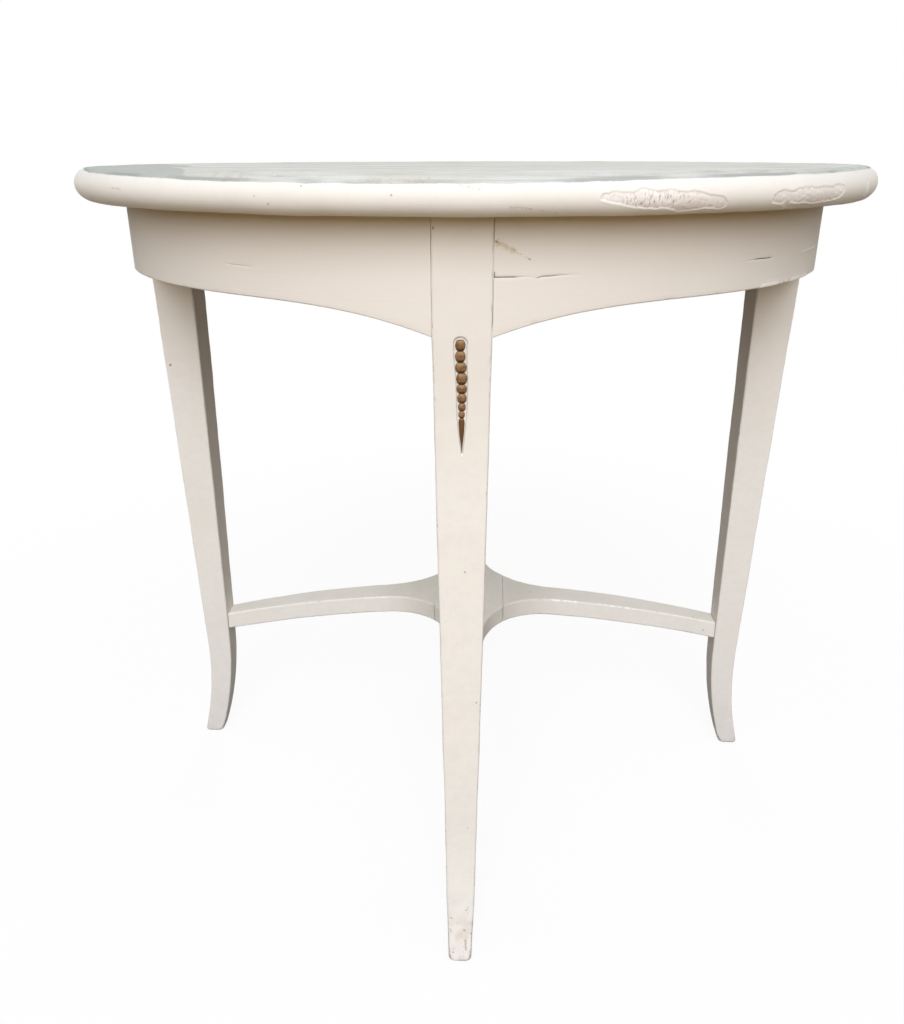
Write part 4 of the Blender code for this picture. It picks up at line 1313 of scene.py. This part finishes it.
def make_stretcher():
    """The rail through the hub, and an arm on each side of it."""
    rings, fields = stretcher_rings(np.linspace(-1, 1, RAIL_ROWS)[:, None], 0)
    loft("stretcher_rail_painted", rings, stretcher_paint, ["stretcher_rail"], fields)
    for number, place, gap in ((1, "right", SEAT_GAP), (3, "left", PAINTED_GAP)):
        start = (HUB + gap) / STRETCHER_REACH
        rings, fields = stretcher_rings(np.linspace(start, 1, ARM_ROWS)[:, None], number)
        node = f"stretcher_arm_{place}"
        loft(f"{node}_painted", rings, stretcher_paint, [node], fields)


make_stretcher()

# %% [markdown]
# ## Fixings
# Nobody sees the eight blocks that hold the top until the table is turned over. Each is a
# bare pine block with a countersunk steel screw. A block with a hole is a ring in shape, so
# its rows run once round: up the hole, out over the top, down the sides and back underneath.

# %% Finishes of the fixings
STEEL = colour(0.420, 0.410, 0.390)
RUSTED = colour(0.190, 0.095, 0.045)
TURNING_STRETCH = (300.0, 2600.0, 2600.0)


def pine_finish():
    """Old bare pine."""
    material, place, _ = new_finish("bare_pine_block")
    return close_finish(material, *pine_wood(place), 0.0002, Specular_IOR_Level=0.2)


def steel_finish():
    """Steel screw heads with brown rust blooms."""
    material, place, _ = new_finish("rusty_screw_steel")
    rust = place.noise(700.0, 3.0, 0.6).rise(0.42, 0.62)
    turning = place.drawn(TURNING_STRETCH, 2.0)
    return close_finish(
        material, (rust * 0.8).tint(STEEL, RUSTED), 0.34 + rust * 0.4, turning + rust, 0.00006, Metallic=0.7)


pine, steel = pine_finish(), steel_finish()

# %% The blocks
BLOCK_LENGTH, BLOCK_DEPTH, BLOCK_HEIGHT, BLOCK_EASE = 0.050, 0.024, 0.022, 0.0012
BLOCK_BACK = APRON_RADIUS - APRON_THICKNESS - SEAT_GAP
BLOCK_BOTTOM = FRAME_TOP - BLOCK_HEIGHT
SCREW_RADIUS = BLOCK_BACK - BLOCK_DEPTH / 2
SCREW_SHANK, SCREW_HEAD, HEAD_HEIGHT = 0.002, 0.004, 0.003


def make_block(name, turns):
    """Rings from the screw hole out to the block's outline and back, under and over."""
    side_x, side_y, round_x, round_y = eased_section([stops(7), stops(13), stops(7), stops(13)])
    half_long, half_deep = BLOCK_LENGTH / 2, BLOCK_DEPTH / 2
    edge_x = side_x * (half_deep - BLOCK_EASE) + round_x * BLOCK_EASE
    edge_y = side_y * (half_long - BLOCK_EASE) + round_y * BLOCK_EASE
    sagitta = (np.sqrt(BLOCK_BACK ** 2 - edge_y ** 2) - BLOCK_BACK) * (side_x + 1) / 2
    way = np.arctan2(edge_y, edge_x)
    hole, rim = SCREW_SHANK + SEAT_GAP, SCREW_HEAD + SEAT_GAP
    # Each row: radius of its circle, share of the way to the outline, inset there, and height.
    rows = np.array((
        (hole, 0, 0, FRAME_TOP), (hole, 0, 0, BLOCK_BOTTOM + HEAD_HEIGHT), (rim, 0, 0, BLOCK_BOTTOM),
        (rim, 0.1, BLOCK_EASE, BLOCK_BOTTOM), (rim, 0.5, BLOCK_EASE, BLOCK_BOTTOM),
        (rim, 1, BLOCK_EASE, BLOCK_BOTTOM), (rim, 1, BLOCK_EASE * 0.3, BLOCK_BOTTOM + BLOCK_EASE * 0.3),
        (rim, 1, 0, BLOCK_BOTTOM + BLOCK_EASE), (rim, 1, 0, (BLOCK_BOTTOM + FRAME_TOP) / 2),
        (rim, 1, 0, FRAME_TOP - BLOCK_EASE), (rim, 1, BLOCK_EASE, FRAME_TOP), (hole, 0, 0, FRAME_TOP)))
    circle, share, inset, height = rows.T[:, :, None]
    out = circle * np.cos(way) * (1 - share) + (edge_x + sagitta - np.sign(edge_x) * inset) * share
    across = circle * np.sin(way) * (1 - share) + (edge_y - np.sign(edge_y) * inset) * share
    points = placed(across, SCREW_RADIUS + out, height, turns)
    loft(f"{name}_pine", points, pine, [name], {}, capped=False)


print("screws at radius", round(SCREW_RADIUS, 4))

# %% The screws, and all fixings in place
SCREW_LENGTH, SCREW_TIP = 0.034, 0.006
SLOT_HALF, SLOT_DEPTH, SLOT_EDGE, SLOT_TURN = 0.00045, 0.0008, 0.00012, 0.7
HEAD_ROWS, SCREW_COLUMNS, SCREW_EASE, SCREW_MIDDLE = 14, 56, 0.0002, 0.03
BLOCK_TURNS = 22 / 90


def make_screw(name, turns, slot_turn):
    """A turned screw, tip up: its flat head sinks where a slot crosses it."""
    inner = np.linspace(SCREW_MIDDLE, 1, HEAD_ROWS) * (SCREW_HEAD - SCREW_EASE)
    radius = np.concatenate([inner, (SCREW_HEAD, SCREW_SHANK, SCREW_SHANK, SCREW_EASE)])[:, None]
    height = np.concatenate([0 * inner, (SCREW_EASE, HEAD_HEIGHT, SCREW_LENGTH - SCREW_TIP, SCREW_LENGTH)])
    way = np.linspace(0, 2 * np.pi, SCREW_COLUMNS, endpoint=False)
    height = height[:, None] + 0 * way
    beside = np.abs(radius * np.sin(way + slot_turn))
    slot = smooth(SLOT_HALF + SLOT_EDGE, SLOT_HALF, beside) * (height < HEAD_HEIGHT / 2)
    height = BLOCK_BOTTOM + (height + SLOT_DEPTH * slot)
    points = placed(radius * np.cos(way), SCREW_RADIUS + radius * np.sin(way), height, turns)
    loft(f"{name}_steel", points, steel, [name], {})


for number in range(8):
    turns = number // 2 + 0.5 + (-1, 1)[number % 2] * BLOCK_TURNS
    make_block(f"fixing_block_{number + 1}", turns)
    make_screw(f"fixing_screw_{number + 1}", turns, SLOT_TURN * number)
for name, node in frame["nodes"].items():
    if name.startswith("dowel"):
        for held in node.material_slots:
            held.material = pine

# %% [markdown]
# ## Floor, air and lamps
# The photograph was taken in soft daylight from the front, over a dark warm ground, and cut out
# on white. The background white comes from what the camera sees, not from strong lamps: the
# world and the floor show white to camera and glossy rays only, and a share of plain diffuse
# floor near the table keeps its shadow. For all other rays the world is a plain sky that
# darkens towards the horizon, the zenith and the back, and the floor gives back little light;
# under and behind the table its colour is nearly black, a painted shadow. That leaves the dark
# band under the rim and the dark inner sides of the legs. One large panel in front is the
# daylight. A weaker one behind keeps the back from going dark, and glossy rays don't see it, so
# that it leaves no streak on the top.

# %% The air
WHITE = colour(1.0, 1.0, 1.0)
SKY, ZENITH = colour(1.000, 1.000, 0.985), colour(0.570, 0.570, 0.565)
HORIZON, SHADE = colour(0.280, 0.175, 0.050), colour(0.02, 0.02, 0.02)
SKY_FROM, SKY_FULL, ZENITH_FROM = 0.06, 0.56, 0.58
BACK_FROM, BACK_FULL, BACK_SHARE = -0.7, 0.35, 0.70


def seen_directly(wire):
    """1 on rays that show the surroundings: camera, glossy and transmission rays."""
    path = wire.node("ShaderNodeLightPath").socket.node
    camera_ray, glossy, through = (
        Wire(wire.tree, path.outputs[f"Is {kind} Ray"]) for kind in ("Camera", "Glossy", "Transmission"))
    return camera_ray.most(glossy).most(through)


def make_air():
    """The world: white to look at, and for other rays a sky that grows with height."""
    world = bpy.data.worlds.new("air")
    world.use_nodes = True
    way = Wire(world.node_tree).node("ShaderNodeTexCoord", None, None, "Generated").parts()
    sky = way[2].rise(SKY_FROM, SKY_FULL).tint(HORIZON, way[2].rise(ZENITH_FROM, 1.0).tint(SKY, ZENITH))
    sky = (way[1].rise(BACK_FROM, BACK_FULL) * BACK_SHARE).tint(sky, SHADE)
    shade = seen_directly(sky).tint(sky, WHITE)
    world.node_tree.links.new(shade.socket, world.node_tree.nodes["Background"].inputs["Color"])
    bpy.context.scene.world = world
    print("air", len(world.node_tree.nodes), "nodes")


make_air()

# %% The floor
FLOOR_FRONT, FLOOR_SHADOW = colour(0.310, 0.220, 0.105), colour(0.020, 0.014, 0.008)
FLOOR_RINGS, FLOOR_COLUMNS = (0.01, 0.3, 0.6, 1.2, 2.4, 5.0, 9.0), 48
GROUND_FROM, GROUND_FULL = -0.30, -0.70
SHADOW_NEAR, SHADOW_FAR, SHADOW_SHARE = 0.45, 1.4, 0.10


def make_floor():
    """A wide disc: rings of radius r at angle a, white to look at except for the shadow."""
    radius = np.array(FLOOR_RINGS)[:, None]
    way = np.linspace(0, 2 * np.pi, FLOOR_COLUMNS, endpoint=False)
    points = stacked(radius * np.cos(way), radius * np.sin(way), -SEAT_GAP)
    rows, columns = points.shape[:2]
    faces = [*ring_quads(rows, columns)[:, ::-1].tolist(), list(range(columns))]
    mesh = bpy.data.meshes.new("floor")
    mesh.from_pydata(points.reshape(-1, 3).tolist(), [], faces)
    material, place, _ = new_finish("floor_paper")
    tree = material.node_tree
    plain = place.from_axis().rise(SHADOW_FAR, SHADOW_NEAR) * SHADOW_SHARE
    seen = seen_directly(place)
    # Painted shadow: under and behind the table the floor's bounce colour is nearly black.
    ground_and_shadow = place.parts()[1].rise(GROUND_FROM, GROUND_FULL).tint(FLOOR_SHADOW, FLOOR_FRONT)
    paper = place.node("ShaderNodeBsdfDiffuse", None, {"Color": seen.tint(ground_and_shadow, WHITE)})
    lit = place.node("ShaderNodeEmission", None, {"Color": WHITE, "Strength": 1.0})
    mixed = place.node("ShaderNodeMixShader", None, {0: seen * (1 - plain), 1: paper, 2: lit})
    tree.links.new(mixed.socket, tree.nodes["Material Output"].inputs["Surface"])
    mesh.materials.append(material)
    floor = bpy.data.objects.new("floor", mesh)
    bpy.context.scene.collection.objects.link(floor)
    print("floor", len(faces), "faces")


make_floor()

# %% Lamps
AIM = Vector((0, -0.2, 0.45))
# Each lamp: its name, place, width and height, power and colour.
LAMPS = (
    ("front_sky", (0.0, -4.66, 3.13), (2.6, 4.2), 249.0, (0.885, 0.92, 1.0)),
    ("back_sky", (0.0, 5.00, 1.95), (2.6, 3.0), 126.0, (1.0, 0.97, 0.92)))


def make_lamp(name, place, size, power, tint):
    """A softbox at a place, turned to face the table."""
    light = bpy.data.lights.new(name, "AREA")
    light.shape = "RECTANGLE"
    light.size, light.size_y = size
    light.energy, light.color = power, tint
    lamp = bpy.data.objects.new(name, light)
    lamp.location = place
    lamp.rotation_euler = (AIM - lamp.location).to_track_quat("-Z", "Y").to_euler()
    lamp.visible_camera = False
    lamp.visible_glossy = place[1] < 0
    bpy.context.scene.collection.objects.link(lamp)


for lamp_values in LAMPS:
    make_lamp(*lamp_values)
print(len(LAMPS), "lamps")
